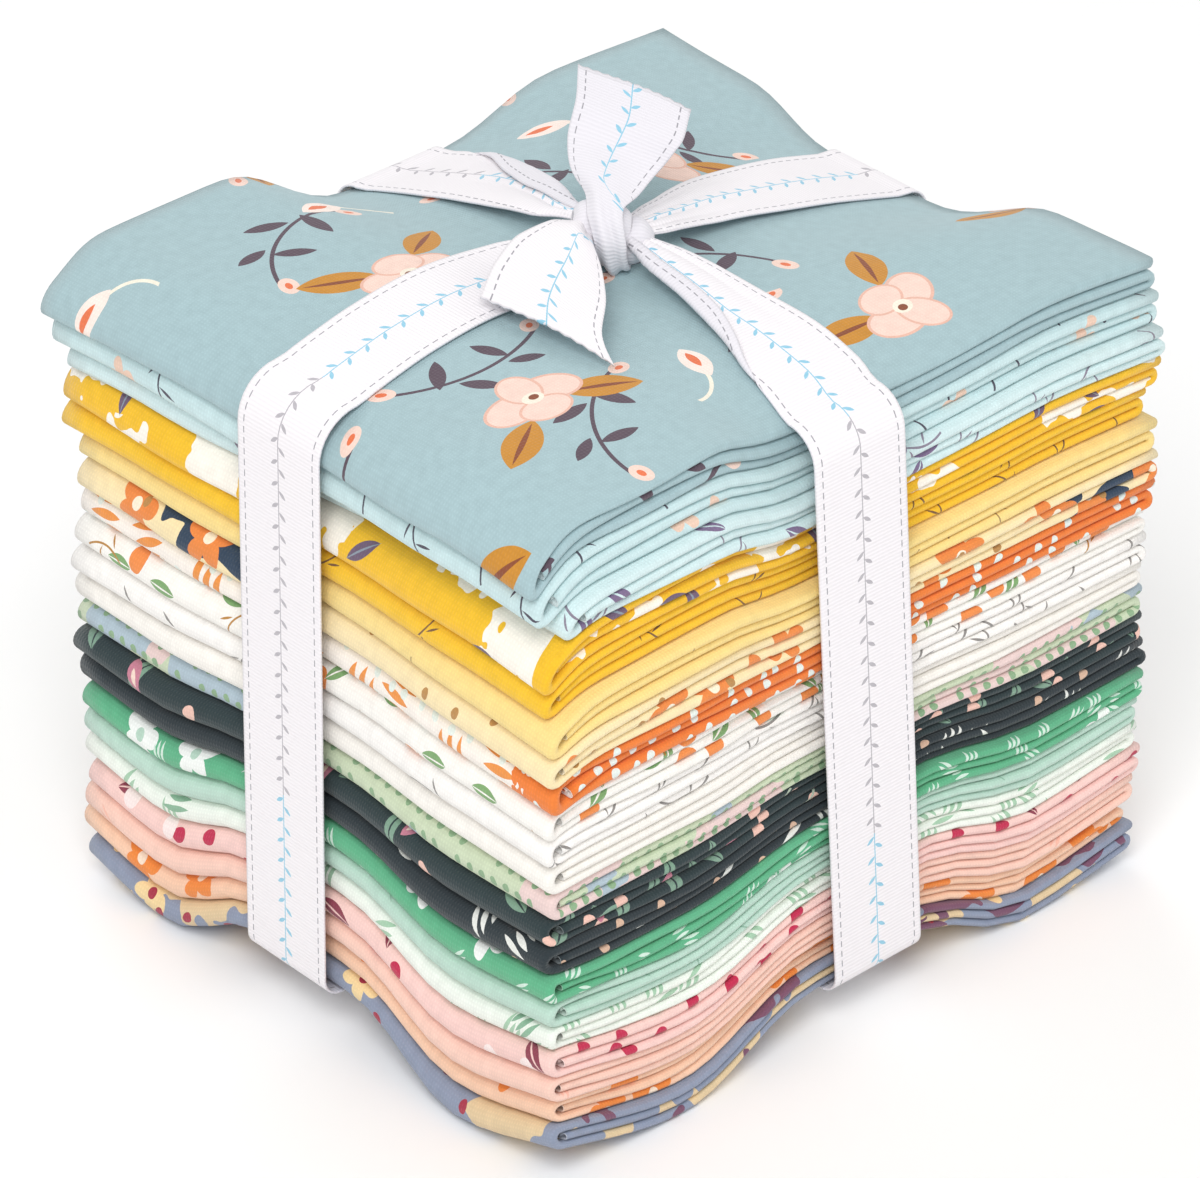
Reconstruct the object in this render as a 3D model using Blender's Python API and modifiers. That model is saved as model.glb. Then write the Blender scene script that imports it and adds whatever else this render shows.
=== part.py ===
"""A bundle of folded fat quarters tied both ways with a ribbon.

Each cloth is a quarter yard cut wide, folded in four along Y and then in three along X. One layer here
is one panel of the cloth folded in four. The near end is -Y, the far end is +Y, and the big round fold
of every cloth faces -X. Sizes in the tables are millimetres, the model is in metres, and +Z is up.
"""
import math
from typing import NamedTuple

import bmesh
import bpy
from mathutils import Vector

MM = 0.001

# The cut of one cloth and the folded size that it gives
CUT_LONG = 533.4
CUT_SHORT = 457.2
HALF_LENGTH = CUT_LONG / 4 / 2
HALF_DEPTH = CUT_SHORT / 3 / 2
LAYER = 1.4
LAYERS = 3

# The level plane inside the bundle: the cloths under it follow the underside, those over it the top
LEVEL_HEIGHT = 63.6
LOWER_CLOTHS = 10
BIG_FOLD_EDGES = 5
SMALL_FOLD_EDGES = 4
TUCK_GAP = 0.6

# The ribbon, which presses the edges of the cloths in where it crosses them
RIBBON_PRESS = 2.2
RIBBON_WIDTH = 22.2
RIBBON_THICKNESS = 1.0
RIBBON_CLEARANCE = 0.5
RIBBON_CORNER = 4.0
RIBBON_CORNER_STEPS = 3
FOLD_CROWN = 1.5
CROSSING_DIP = RIBBON_THICKNESS + 0.3
DIP_REACH = 25.0
KNOT_HEIGHT = 6.3
KNOT_RADII = (8.0, 5.6, 5.0)
KNOT_SIDES = 12
KNOT_RINGS = 8
WRAP_RADIUS = 5.7
WRAP_WIDTH = 8.0

COLLECTION = "fat_quarter_bundle"


class Section(NamedTuple):
    """Heights of the top or the underside across the bundle at one place along X, in millimetres."""
    x: float
    edge_near: float
    lobe_near: float
    tie: float
    lobe_far: float
    edge_far: float


# The tie columns lie at both sides of the ribbon that runs along X, so they come twice in LINES
TOP_LINES = (-HALF_LENGTH, -40.0, -11.5, 16.5, 42.0, HALF_LENGTH)
TIE_LINES = (2, 3)
TOP_LEAN = 0.0526
TOP_SECTIONS = (
    Section(x=-HALF_DEPTH, edge_near=129.0, lobe_near=131.5, tie=128.2, lobe_far=132.0, edge_far=131.0),
    Section(x=-65.0, edge_near=137.0, lobe_near=138.5, tie=135.5, lobe_far=138.5, edge_far=137.5),
    Section(x=-34.0, edge_near=138.0, lobe_near=139.5, tie=138.5, lobe_far=138.5, edge_far=137.5),
    Section(x=-11.75, edge_near=130.8, lobe_near=136.5, tie=136.0, lobe_far=132.5, edge_far=125.0),
    Section(x=15.25, edge_near=130.8, lobe_near=136.5, tie=136.0, lobe_far=132.5, edge_far=125.0),
    Section(x=46.0, edge_near=135.0, lobe_near=136.5, tie=131.0, lobe_far=132.5, edge_far=130.0),
    Section(x=HALF_DEPTH, edge_near=132.5, lobe_near=132.5, tie=122.8, lobe_far=128.0, edge_far=129.0),
)
UNDER_LINES = (-HALF_LENGTH, -40.0, -9.0, 19.0, 42.0, HALF_LENGTH)
UNDER_LEAN = 0.0
UNDER_SECTIONS = (
    Section(x=-HALF_DEPTH, edge_near=8.0, lobe_near=0.0, tie=10.5, lobe_far=0.0, edge_far=5.0),
    Section(x=-42.0, edge_near=0.0, lobe_near=0.0, tie=5.5, lobe_far=0.0, edge_far=0.0),
    Section(x=-8.0, edge_near=9.5, lobe_near=4.5, tie=3.5, lobe_far=4.0, edge_far=8.5),
    Section(x=20.0, edge_near=9.5, lobe_near=4.5, tie=3.5, lobe_far=4.0, edge_far=8.5),
    Section(x=46.0, edge_near=0.0, lobe_near=0.0, tie=5.5, lobe_far=0.0, edge_far=0.0),
    Section(x=HALF_DEPTH, edge_near=3.5, lobe_near=0.0, tie=10.0, lobe_far=0.0, edge_far=4.0),
)


class Cloth(NamedTuple):
    """One folded cloth: its shift along Y, how far its folds stand out at -X and +X, its colour."""
    name: str
    shift: float
    left_near: float
    left_far: float
    right: float
    colour: str


# From the bottom to the top
CLOTHS = (
    Cloth("cloth_01", shift=-0.9, left_near=0.0, left_far=0.0, right=0.0, colour="8A8CA0"),
    Cloth("cloth_02", shift=0.2, left_near=-1.5, left_far=-0.5, right=-0.5, colour="E8A778"),
    Cloth("cloth_03", shift=-1.2, left_near=0.0, left_far=0.5, right=0.0, colour="EFB296"),
    Cloth("cloth_04", shift=-1.8, left_near=0.5, left_far=0.0, right=0.5, colour="F0B4AE"),
    Cloth("cloth_05", shift=-1.2, left_near=0.0, left_far=-0.5, right=0.0, colour="DCE6D6"),
    Cloth("cloth_06", shift=-1.6, left_near=0.5, left_far=0.0, right=-0.5, colour="A9BDA0"),
    Cloth("cloth_07", shift=-2.0, left_near=1.0, left_far=0.5, right=0.5, colour="6FA283"),
    Cloth("cloth_08", shift=-0.8, left_near=0.5, left_far=0.0, right=1.5, colour="3B4248"),
    Cloth("cloth_09", shift=-0.2, left_near=0.0, left_far=0.5, right=1.0, colour="394246"),
    Cloth("cloth_10", shift=-0.6, left_near=-1.0, left_far=-0.5, right=0.0, colour="B9C3B2"),
    Cloth("cloth_11", shift=-0.7, left_near=-0.5, left_far=0.0, right=0.5, colour="EDE9E2"),
    Cloth("cloth_12", shift=-1.1, left_near=0.0, left_far=0.5, right=0.0, colour="F1EFEA"),
    Cloth("cloth_13", shift=-1.3, left_near=0.5, left_far=0.0, right=-0.5, colour="F3F0E9"),
    Cloth("cloth_14", shift=-2.4, left_near=0.0, left_far=-1.0, right=0.0, colour="F0C9A2"),
    Cloth("cloth_15", shift=-3.0, left_near=1.0, left_far=-0.5, right=0.5, colour="F0DDB0"),
    Cloth("cloth_16", shift=-2.2, left_near=0.5, left_far=-1.0, right=0.0, colour="F3D98F"),
    Cloth("cloth_17", shift=0.1, left_near=-0.5, left_far=0.0, right=-0.5, colour="E9B93C"),
    Cloth("cloth_18", shift=-0.3, left_near=0.0, left_far=0.5, right=2.0, colour="E8B63A"),
    Cloth("cloth_19", shift=-1.2, left_near=-5.0, left_far=-0.5, right=1.5, colour="CFE0DF"),
    Cloth("cloth_20", shift=1.2, left_near=0.0, left_far=0.5, right=2.0, colour="C5DAD9"),
    Cloth("cloth_21", shift=2.6, left_near=0.5, left_far=0.0, right=1.0, colour="A9C6C7"),
)
LOWER_LAYERS = LOWER_CLOTHS * LAYERS
ALL_LAYERS = len(CLOTHS) * LAYERS


class Band(NamedTuple):
    """One turn of the ribbon: its sides along its run, and its centre line across it at each side."""
    name: str
    runs_along_x: bool
    low_side: float
    high_side: float
    top_low: float
    top_high: float
    under_low: float
    under_high: float
    dip: float


BANDS = (
    Band("ribbon_turn_x", True, low_side=-76.1, high_side=77.1, top_low=2.85, top_high=5.0,
         under_low=5.2, under_high=5.0, dip=0.0),
    Band("ribbon_turn_y", False, low_side=-68.4, high_side=69.4, top_low=-1.8, top_high=5.2,
         under_low=6.3, under_high=5.5, dip=CROSSING_DIP),
)


class Gather(NamedTuple):
    """The ribbon near the knot: distance from it, half width, lift off the cloth and crown."""
    distance: float
    half_width: float
    lift: float
    crown: float


GATHERS = (
    Gather(distance=3.0, half_width=4.0, lift=4.2, crown=1.0),
    Gather(distance=8.0, half_width=5.2, lift=3.2, crown=1.4),
    Gather(distance=16.0, half_width=8.0, lift=1.2, crown=0.9),
    Gather(distance=27.0, half_width=RIBBON_WIDTH / 2, lift=0.2, crown=0.2),
)


class TailRow(NamedTuple):
    """One row across a free end of the ribbon: its two edges, with the height over the level top."""
    left: tuple
    right: tuple


# Heights of the tails are measured from the cloth under the knot
TAILS = {
    "ribbon_tail_back": (
        TailRow(left=(-2.5, 2.0, 7.5), right=(3.0, -2.0, 7.5)),
        TailRow(left=(-1.5, 6.0, 11.5), right=(9.0, 1.5, 11.5)),
        TailRow(left=(4.0, 14.5, 16.0), right=(15.0, -1.5, 16.0)),
        TailRow(left=(13.0, 23.5, 20.0), right=(20.5, 0.5, 19.5)),
        TailRow(left=(22.0, 32.0, 21.5), right=(24.5, 3.0, 21.5)),
    ),
    "ribbon_tail_front": (
        TailRow(left=(1.0, 3.5, 5.5), right=(2.0, -3.0, 5.0)),
        TailRow(left=(-8.5, 9.5, 6.5), right=(-2.5, -6.0, 5.0)),
        TailRow(left=(-20.0, 7.0, 6.5), right=(-13.0, -16.0, 5.0)),
        TailRow(left=(-31.0, 0.5, 6.2), right=(-27.0, -29.0, 4.6)),
    ),
}


def linear_colour(hex_code):
    """Turn an sRGB hex code into a linear RGBA colour."""
    channels = [int(hex_code[i:i + 2], 16) / 255 for i in (0, 2, 4)]
    return [((c + 0.055) / 1.055) ** 2.4 if c > 0.04045 else c / 12.92 for c in channels] + [1.0]


def cotton(name, hex_code, roughness=0.9):
    """Make the plain material of one woven piece."""
    material = bpy.data.materials.new(name)
    material.use_nodes = True
    shader = material.node_tree.nodes["Principled BSDF"]
    shader.inputs["Base Color"].default_value = linear_colour(hex_code)
    shader.inputs["Roughness"].default_value = roughness
    shader.inputs["Metallic"].default_value = 0.0
    return material


def between(value, knots):
    """Read a height off a row of (place, height) knots, straight between them and past the ends."""
    cell = 0
    while cell < len(knots) - 2 and value > knots[cell + 1][0]:
        cell += 1
    (start, low), (end, high) = knots[cell], knots[cell + 1]
    return low + (high - low) * (value - start) / (end - start)


def surface_height(sections, lines, lean, x, y):
    """Height of the top or the underside at a place."""
    knots = []
    for number, section in enumerate(sections):
        heights = (section.edge_near, section.lobe_near, section.tie,
                   section.tie, section.lobe_far, section.edge_far)
        knots.append((station(sections, number, lean, y), between(y, list(zip(lines, heights)))))
    return between(x, knots)


def beside_ribbon(sections, number):
    """Tell whether a section is one of the two beside the ribbon that runs along Y."""
    first = (len(sections) - 1) // 2
    return number in (first, first + 1)


def station(sections, number, lean, y):
    """Place along X of a section, where the two beside the ribbon lean with it."""
    return sections[number].x + (lean * y if beside_ribbon(sections, number) else 0.0)


def top_height(x, y):
    """Height of the top of the stack."""
    return surface_height(TOP_SECTIONS, TOP_LINES, TOP_LEAN, x, y)


def under_height(x, y):
    """Height of the underside of the stack."""
    return surface_height(UNDER_SECTIONS, UNDER_LINES, UNDER_LEAN, x, y)


def layer_height(number, x, y):
    """Height of the lower side of a layer's room, counted from the bottom of the stack."""
    if number <= LOWER_LAYERS:
        under = under_height(x, y)
        return under + (LEVEL_HEIGHT - under) * number / LOWER_LAYERS
    share = (number - LOWER_LAYERS) / (ALL_LAYERS - LOWER_LAYERS)
    return LEVEL_HEIGHT + (top_height(x, y) - LEVEL_HEIGHT) * share


def fold_points(end, side, low, high, edges, rising):
    """Corners of a round fold between two heights, reaching out to end on the given side."""
    radius = (high - low) / 2
    turn = math.pi / edges
    reach = radius / math.cos(turn / 2)
    points = []
    for number in range(edges):
        angle = (number + 0.5) * turn
        height = -math.cos(angle) if rising else math.cos(angle)
        x = end - side * radius + side * reach * math.sin(angle)
        points.append((x, (low + high) / 2 + reach * height))
    return points


def cloth_path(cloth, first_layer, sections, lean, y, press):
    """Outer line of one cloth's section at y: middle layer, small fold, bottom, big fold, top."""
    share = (y / HALF_LENGTH + 1) / 2
    left = press - HALF_DEPTH - cloth.left_near * (1 - share) - cloth.left_far * share
    right = HALF_DEPTH + cloth.right - press
    inner = [station(sections, number, lean, y) for number in range(1, len(sections) - 1)]
    room_height = layer_height(first_layer + 1, 0, y) - layer_height(first_layer, 0, y)

    def bottom(x):
        return layer_height(first_layer, x, y)

    def middle(x):
        return layer_height(first_layer + 1, x, y) + LAYER

    def top(x):
        return layer_height(first_layer + 2, x, y) + LAYER

    tuck = left + LAYERS / 2 * room_height + TUCK_GAP
    path = [(tuck, middle(tuck))] + [(x, middle(x)) for x in inner]
    turn = right - room_height
    path += fold_points(right, 1, bottom(turn), middle(turn), SMALL_FOLD_EDGES, rising=False)
    path += [(x, bottom(x)) for x in reversed(inner)]
    turn = left + LAYERS / 2 * room_height
    path += fold_points(left, -1, bottom(turn), top(turn), BIG_FOLD_EDGES, rising=True)
    path += [(x, top(x)) for x in inner] + [(right, top(right))]
    return path


def grid_surface(name, rows, material):
    """Lay a grid over rows of points, every cell cut along the diagonal that misses its corner."""
    mesh = bpy.data.meshes.new(name)
    shape = bmesh.new()
    across = len(rows[0]) - 1
    along = len(rows) - 1
    bmesh.ops.create_grid(shape, x_segments=across, y_segments=along, size=0.5)
    for vertex in shape.verts:
        column = round((vertex.co.x + 0.5) * across)
        row = round((vertex.co.y + 0.5) * along)
        vertex.co = Vector(rows[row][column]) * MM
    for face in list(shape.faces):
        centre = face.calc_center_median()
        slant = -math.copysign(1, centre.x * centre.y)
        corner = min(face.loops, key=lambda loop: loop.vert.co.x + slant * loop.vert.co.y)
        bmesh.utils.face_split(face, corner.vert, corner.link_loop_next.link_loop_next.vert)
    shape.to_mesh(mesh)
    shape.free()
    mesh.materials.append(material)
    return bpy.data.objects.new(name, mesh)


def thicken(piece, thickness, offset):
    """Give a surface its thickness, on its inner side with offset -1 and its outer side with 1."""
    wall = piece.modifiers.new("thickness", "SOLIDIFY")
    wall.thickness = thickness * MM
    wall.offset = offset
    wall.use_even_offset = True


def fold_cloth(cloth, number, parts):
    """Make one folded cloth of three layers."""
    upper = number >= LOWER_CLOTHS
    sections = TOP_SECTIONS if upper else UNDER_SECTIONS
    lines = TOP_LINES if upper else UNDER_LINES
    lean = TOP_LEAN if upper else UNDER_LEAN
    places = [lines[0] + cloth.shift, *lines[1:-1], lines[-1] + cloth.shift]
    rows = []
    for line, y in enumerate(places):
        press = RIBBON_PRESS if line in TIE_LINES else 0.0
        path = cloth_path(cloth, number * LAYERS, sections, lean, y, press)
        pressed = [station(sections, n, lean, y) for n in range(len(sections)) if beside_ribbon(sections, n)]
        inward = {0: RIBBON_PRESS, len(places) - 1: -RIBBON_PRESS}.get(line, 0.0)
        rows.append([(x, y + (inward if x in pressed else 0.0), z) for x, z in path])
    piece = grid_surface(cloth.name, rows, cotton(cloth.name, cloth.colour))
    thicken(piece, LAYER, -1)
    parts.objects.link(piece)
    return piece


def cover_height(x, y):
    """Height of the topmost cloth's upper side."""
    return layer_height(ALL_LAYERS - 1, x, y) + LAYER


def band_rows(band):
    """Rows across one turn of the ribbon, from the knot over the low side and round to the knot."""
    def place(run, cross, height):
        return (run, cross, height) if band.runs_along_x else (cross, run, height)

    def row(run, cross, height, half_width=RIBBON_WIDTH / 2, crown=0.0):
        return [place(run, cross + half_width * side, height + crown * (1 - abs(side)))
                for side in (-1, 0, 1)]

    def top_row(run, half_width, lift, crown):
        side_cross = band.top_low if run < 0 else band.top_high
        cross = side_cross * abs(run) / (-band.low_side if run < 0 else band.high_side)
        x, y, _ = place(run, cross, 0)
        return row(run, cross, cover_height(x, y) + RIBBON_CLEARANCE + lift, half_width, crown)

    def under_row(run, dip):
        share = (run - band.low_side) / (band.high_side - band.low_side)
        cross = band.under_low + (band.under_high - band.under_low) * share
        x, y, _ = place(run, cross, 0)
        return row(run, cross, under_height(x, y) - RIBBON_CLEARANCE - dip)

    def corner_rows(side, cross, height, upper):
        reach = side - math.copysign(RIBBON_CORNER, side)
        centre = height - RIBBON_CORNER if upper else height + RIBBON_CORNER
        rows = []
        for step in range(RIBBON_CORNER_STEPS + 1):
            angle = math.pi / 2 * step / RIBBON_CORNER_STEPS
            rise = RIBBON_CORNER * math.cos(angle) * (1 if upper else -1)
            run = reach + math.copysign(RIBBON_CORNER, side) * math.sin(angle)
            rows.append(row(run, cross, centre + rise))
        return rows if upper else rows[::-1]

    lines = TOP_LINES if not band.runs_along_x else [section.x for section in TOP_SECTIONS]
    under_lines = UNDER_LINES if not band.runs_along_x else [section.x for section in UNDER_SECTIONS]
    halves = []
    for side, cross, under_cross in ((band.low_side, band.top_low, band.under_low),
                                     (band.high_side, band.top_high, band.under_high)):
        sign = math.copysign(1, side)
        half = [top_row(sign * gather.distance, gather.half_width, gather.lift, gather.crown)
                for gather in GATHERS]
        outer = sorted((run for run in lines[1:-1] if run * sign > GATHERS[-1].distance), key=abs)
        half += [top_row(run, RIBBON_WIDTH / 2, 0.0, 0.0) for run in outer]
        crown = side - math.copysign(RIBBON_CORNER + FOLD_CROWN, side)
        x, y, _ = place(crown, cross, 0)
        half += corner_rows(side, cross, cover_height(x, y) + RIBBON_CLEARANCE, True)
        x, y, _ = place(crown, under_cross, 0)
        half += corner_rows(side, under_cross, under_height(x, y) - RIBBON_CLEARANCE, False)
        halves.append(half)
    middle = [under_row(run, band.dip if abs(run) < DIP_REACH else 0.0) for run in under_lines[1:-1]]
    return halves[0] + middle + halves[1][::-1]


def tail_rows(tail, base):
    """Rows across one free end of the ribbon."""
    rows = []
    for left, right in tail:
        middle = [(a + b) / 2 for a, b in zip(left, right)]
        rows.append([(x, y, z + base) for x, y, z in (left, middle, right)])
    return rows


def make_knot(base, material):
    """Model the knot: the gathered core of the ribbon and the turn wrapped over it."""
    mesh = bpy.data.meshes.new("ribbon")
    shape = bmesh.new()
    bmesh.ops.create_uvsphere(shape, u_segments=KNOT_SIDES, v_segments=KNOT_RINGS, radius=MM)
    bmesh.ops.scale(shape, vec=KNOT_RADII, verts=shape.verts)
    bmesh.ops.translate(shape, vec=(0, 0, (base + KNOT_HEIGHT) * MM), verts=shape.verts)
    shape.to_mesh(mesh)
    shape.free()
    mesh.materials.append(material)
    return bpy.data.objects.new("ribbon", mesh)


def make_wrap(base, material):
    """Model the turn of ribbon wrapped over the knot."""
    bpy.ops.mesh.primitive_cylinder_add(
        vertices=KNOT_SIDES, radius=WRAP_RADIUS * MM, depth=WRAP_WIDTH * MM,
        location=(0, 0, (base + KNOT_HEIGHT) * MM), rotation=(0, math.pi / 2, 0))
    wrap = bpy.context.object
    wrap.name = "ribbon_wrap"
    wrap.data.materials.append(material)
    for collection in wrap.users_collection:
        collection.objects.unlink(wrap)
    return wrap


def tie_ribbon(parts, cutters):
    """Make the ribbon: one strip round the bundle both ways, its knot and its two free ends."""
    satin = cotton("ribbon", "F1ECEC", roughness=0.6)
    base = cover_height(0, 0)
    ribbon = make_knot(base, satin)
    parts.objects.link(ribbon)
    pieces = [make_wrap(base, satin)]
    for band in BANDS:
        turn = grid_surface(band.name, band_rows(band), satin)
        thicken(turn, RIBBON_THICKNESS, 1 if band.runs_along_x else -1)
        pieces.append(turn)
    for name, tail in TAILS.items():
        end = grid_surface(name, tail_rows(tail, base), satin)
        thicken(end, RIBBON_THICKNESS, 0)
        pieces.append(end)
    for piece in pieces:
        cutters.objects.link(piece)
        piece.hide_render = True
        piece.display_type = "WIRE"
        union = ribbon.modifiers.new(piece.name, "BOOLEAN")
        union.operation = "UNION"
        union.solver = "EXACT"
        union.object = piece
    return ribbon


def centre_on_origin(parts, cutters):
    """Move everything so that the origin is the middle of the bundle's box on the resting plane."""
    graph = bpy.context.evaluated_depsgraph_get()
    corners = []
    for piece in parts.objects:
        mesh = piece.evaluated_get(graph).data
        corners += [piece.matrix_world @ vertex.co for vertex in mesh.vertices]
    middle_x = (min(c.x for c in corners) + max(c.x for c in corners)) / 2
    middle_y = (min(c.y for c in corners) + max(c.y for c in corners)) / 2
    for piece in list(parts.objects) + list(cutters.objects):
        piece.location -= Vector((middle_x, middle_y, 0.0))


def build():
    """Build the whole bundle."""
    for thing in list(bpy.data.objects):
        bpy.data.objects.remove(thing, do_unlink=True)
    parts = bpy.data.collections.new(COLLECTION)
    cutters = bpy.data.collections.new("cutters")
    for collection in (parts, cutters):
        bpy.context.scene.collection.children.link(collection)
    for number, cloth in enumerate(CLOTHS):
        fold_cloth(cloth, number, parts)
    tie_ribbon(parts, cutters)
    bpy.context.view_layer.update()
    centre_on_origin(parts, cutters)


build()
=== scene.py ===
"""The looks of a bundle of folded fat quarters tied both ways with a ribbon.

Every cloth is a thin cotton sheet, folded in four along Y and then in three along X, with its print on the
right side and a paler wrong side. Sizes in the tables are millimetres, and the scene is in metres.
"""
import logging
import math
from dataclasses import dataclass
from enum import Enum, IntEnum
from typing import NamedTuple, Optional, Union

import bpy
import numpy as np
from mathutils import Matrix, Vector


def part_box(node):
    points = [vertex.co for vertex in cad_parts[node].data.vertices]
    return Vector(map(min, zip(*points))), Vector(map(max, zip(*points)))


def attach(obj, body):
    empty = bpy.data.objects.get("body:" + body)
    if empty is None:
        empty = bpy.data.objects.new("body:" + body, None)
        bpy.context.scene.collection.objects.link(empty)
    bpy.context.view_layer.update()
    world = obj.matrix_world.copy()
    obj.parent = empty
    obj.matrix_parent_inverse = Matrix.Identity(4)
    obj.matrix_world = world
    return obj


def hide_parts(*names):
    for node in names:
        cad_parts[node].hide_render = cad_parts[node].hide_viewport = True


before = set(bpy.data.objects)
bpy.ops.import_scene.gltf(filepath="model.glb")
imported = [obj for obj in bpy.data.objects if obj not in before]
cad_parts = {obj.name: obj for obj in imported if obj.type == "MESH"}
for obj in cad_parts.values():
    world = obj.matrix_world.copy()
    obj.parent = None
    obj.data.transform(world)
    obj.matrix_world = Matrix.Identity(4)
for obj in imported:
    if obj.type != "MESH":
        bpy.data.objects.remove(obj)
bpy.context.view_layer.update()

LOG = logging.getLogger("fat_quarter_bundle")
MM = 0.001
BODY = "root"

# The cut of one cloth, the folded size that it gives, and what one sheet of cotton measures
CUT_LONG = 533.4
CUT_SHORT = 457.2
HALF_LENGTH = CUT_LONG / 4 / 2
HALF_DEPTH = CUT_SHORT / 3 / 2
COTTON = 0.26
LAYERS = 3
CLOTHS_IN_STACK = 21
LOWER_CLOTHS = 10
LEVEL_HEIGHT = 63.6
LOWER_LAYERS = LOWER_CLOTHS * LAYERS
ALL_LAYERS = CLOTHS_IN_STACK * LAYERS

# The ribbon: a stock width, woven with a fine rib
RIBBON_WIDTH = 22.2
HALF_RIBBON = RIBBON_WIDTH / 2
RIBBON_THICKNESS = 0.4
RIBBON_PRESS = 2.2
RIBBON_CORNER = 4.0
FOLD_CROWN = 1.5
DIP_REACH = 25.0

Array = np.ndarray
Socket = bpy.types.NodeSocket


class Seed(IntEnum):
    """First seeds of the unevenness of each kind of line; every cloth or level adds its number."""
    NEAR_ENDS = 300
    FAR_ENDS = 500
    LEFT_FOLDS = 700
    RIGHT_FOLDS = 800
    TUCKED_END = 900
    FREE_END = 950
    LEVELS = 4100


def glide(place: Array, knots: Array, values: Array) -> Array:
    """Read smooth curves through knots, which never overshoot them and run straight past their ends.

    Args:
        place: Where to read, one number for each curve.
        knots: The places of the knots, one row for each curve.
        values: The values at the knots, one row for each curve.

    Returns:
        The value of each curve at its place.
    """
    steps = np.diff(knots, axis=1)
    slopes = np.diff(values, axis=1) / steps
    before, after = slopes[:, :-1], slopes[:, 1:]
    same_way = before * after > 0
    total = np.where(same_way, before + after, 1.0)
    inner = np.where(same_way, 2 * before * after / total, 0.0)
    bends = np.concatenate([slopes[:, :1], inner, slopes[:, -1:]], axis=1)
    cell = (place[:, None] > knots[:, 1:-1]).sum(axis=1)
    row = np.arange(len(place))
    width = steps[row, cell]
    share = (place - knots[row, cell]) / width
    t = np.clip(share, 0, 1)
    first, last = bends[row, cell] * width, bends[row, cell + 1] * width
    curve = (values[row, cell] * (2 * t ** 3 - 3 * t ** 2 + 1) + first * (t ** 3 - 2 * t ** 2 + t)
             + values[row, cell + 1] * (3 * t ** 2 - 2 * t ** 3) + last * (t ** 3 - t ** 2))
    return curve + (share - t) * np.where(share > t, last, first)


def glide_row(place: Array, knots: tuple, values: tuple) -> Array:
    """Read one smooth curve at many places.

    Args:
        place: Where to read, in any shape.
        knots: The places of the knots.
        values: The values at the knots.

    Returns:
        The values, in the shape of place.
    """
    flat = np.asarray(place, float).ravel()
    count = len(flat)
    rows = [np.broadcast_to(np.array(row, float), (count, len(row))) for row in (knots, values)]
    return glide(flat, rows[0], rows[1]).reshape(np.shape(place))


def distances(points: Array) -> Array:
    """How far each point lies along the line through them all."""
    return np.concatenate([[0], np.cumsum(np.linalg.norm(np.diff(points, axis=0), axis=1))])


def sheet_normals(grid: Array) -> Array:
    """Unit normals of a sheet, at the grid of its points."""
    normal = np.cross(np.gradient(grid, axis=0), np.gradient(grid, axis=1))
    return normal / np.maximum(np.linalg.norm(normal, axis=2, keepdims=True), 1e-9)


@dataclass(frozen=True)
class Ripple:
    """A smooth unevenness: a few waves of seeded direction, length and phase."""
    seed: int
    amplitude: float
    shortest: float = 40.0
    longest: float = 120.0
    waves: int = 4

    def at(self, x: Array, y: Union[Array, float] = 0.0) -> Array:
        """Read the height of the waves.

        Args:
            x: Places along X, or along a line.
            y: Places along Y.

        Returns:
            The heights.
        """
        draw = np.random.default_rng(self.seed)
        total = np.zeros(np.shape(x))
        for _ in range(self.waves):
            turn, phase = draw.uniform(0, 2 * math.pi, 2)
            length = draw.uniform(self.shortest, self.longest)
            along = np.cos(turn) * x + np.sin(turn) * y
            total = total + np.sin(2 * math.pi * along / length + phase)
        return total * self.amplitude / math.sqrt(self.waves)


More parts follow.
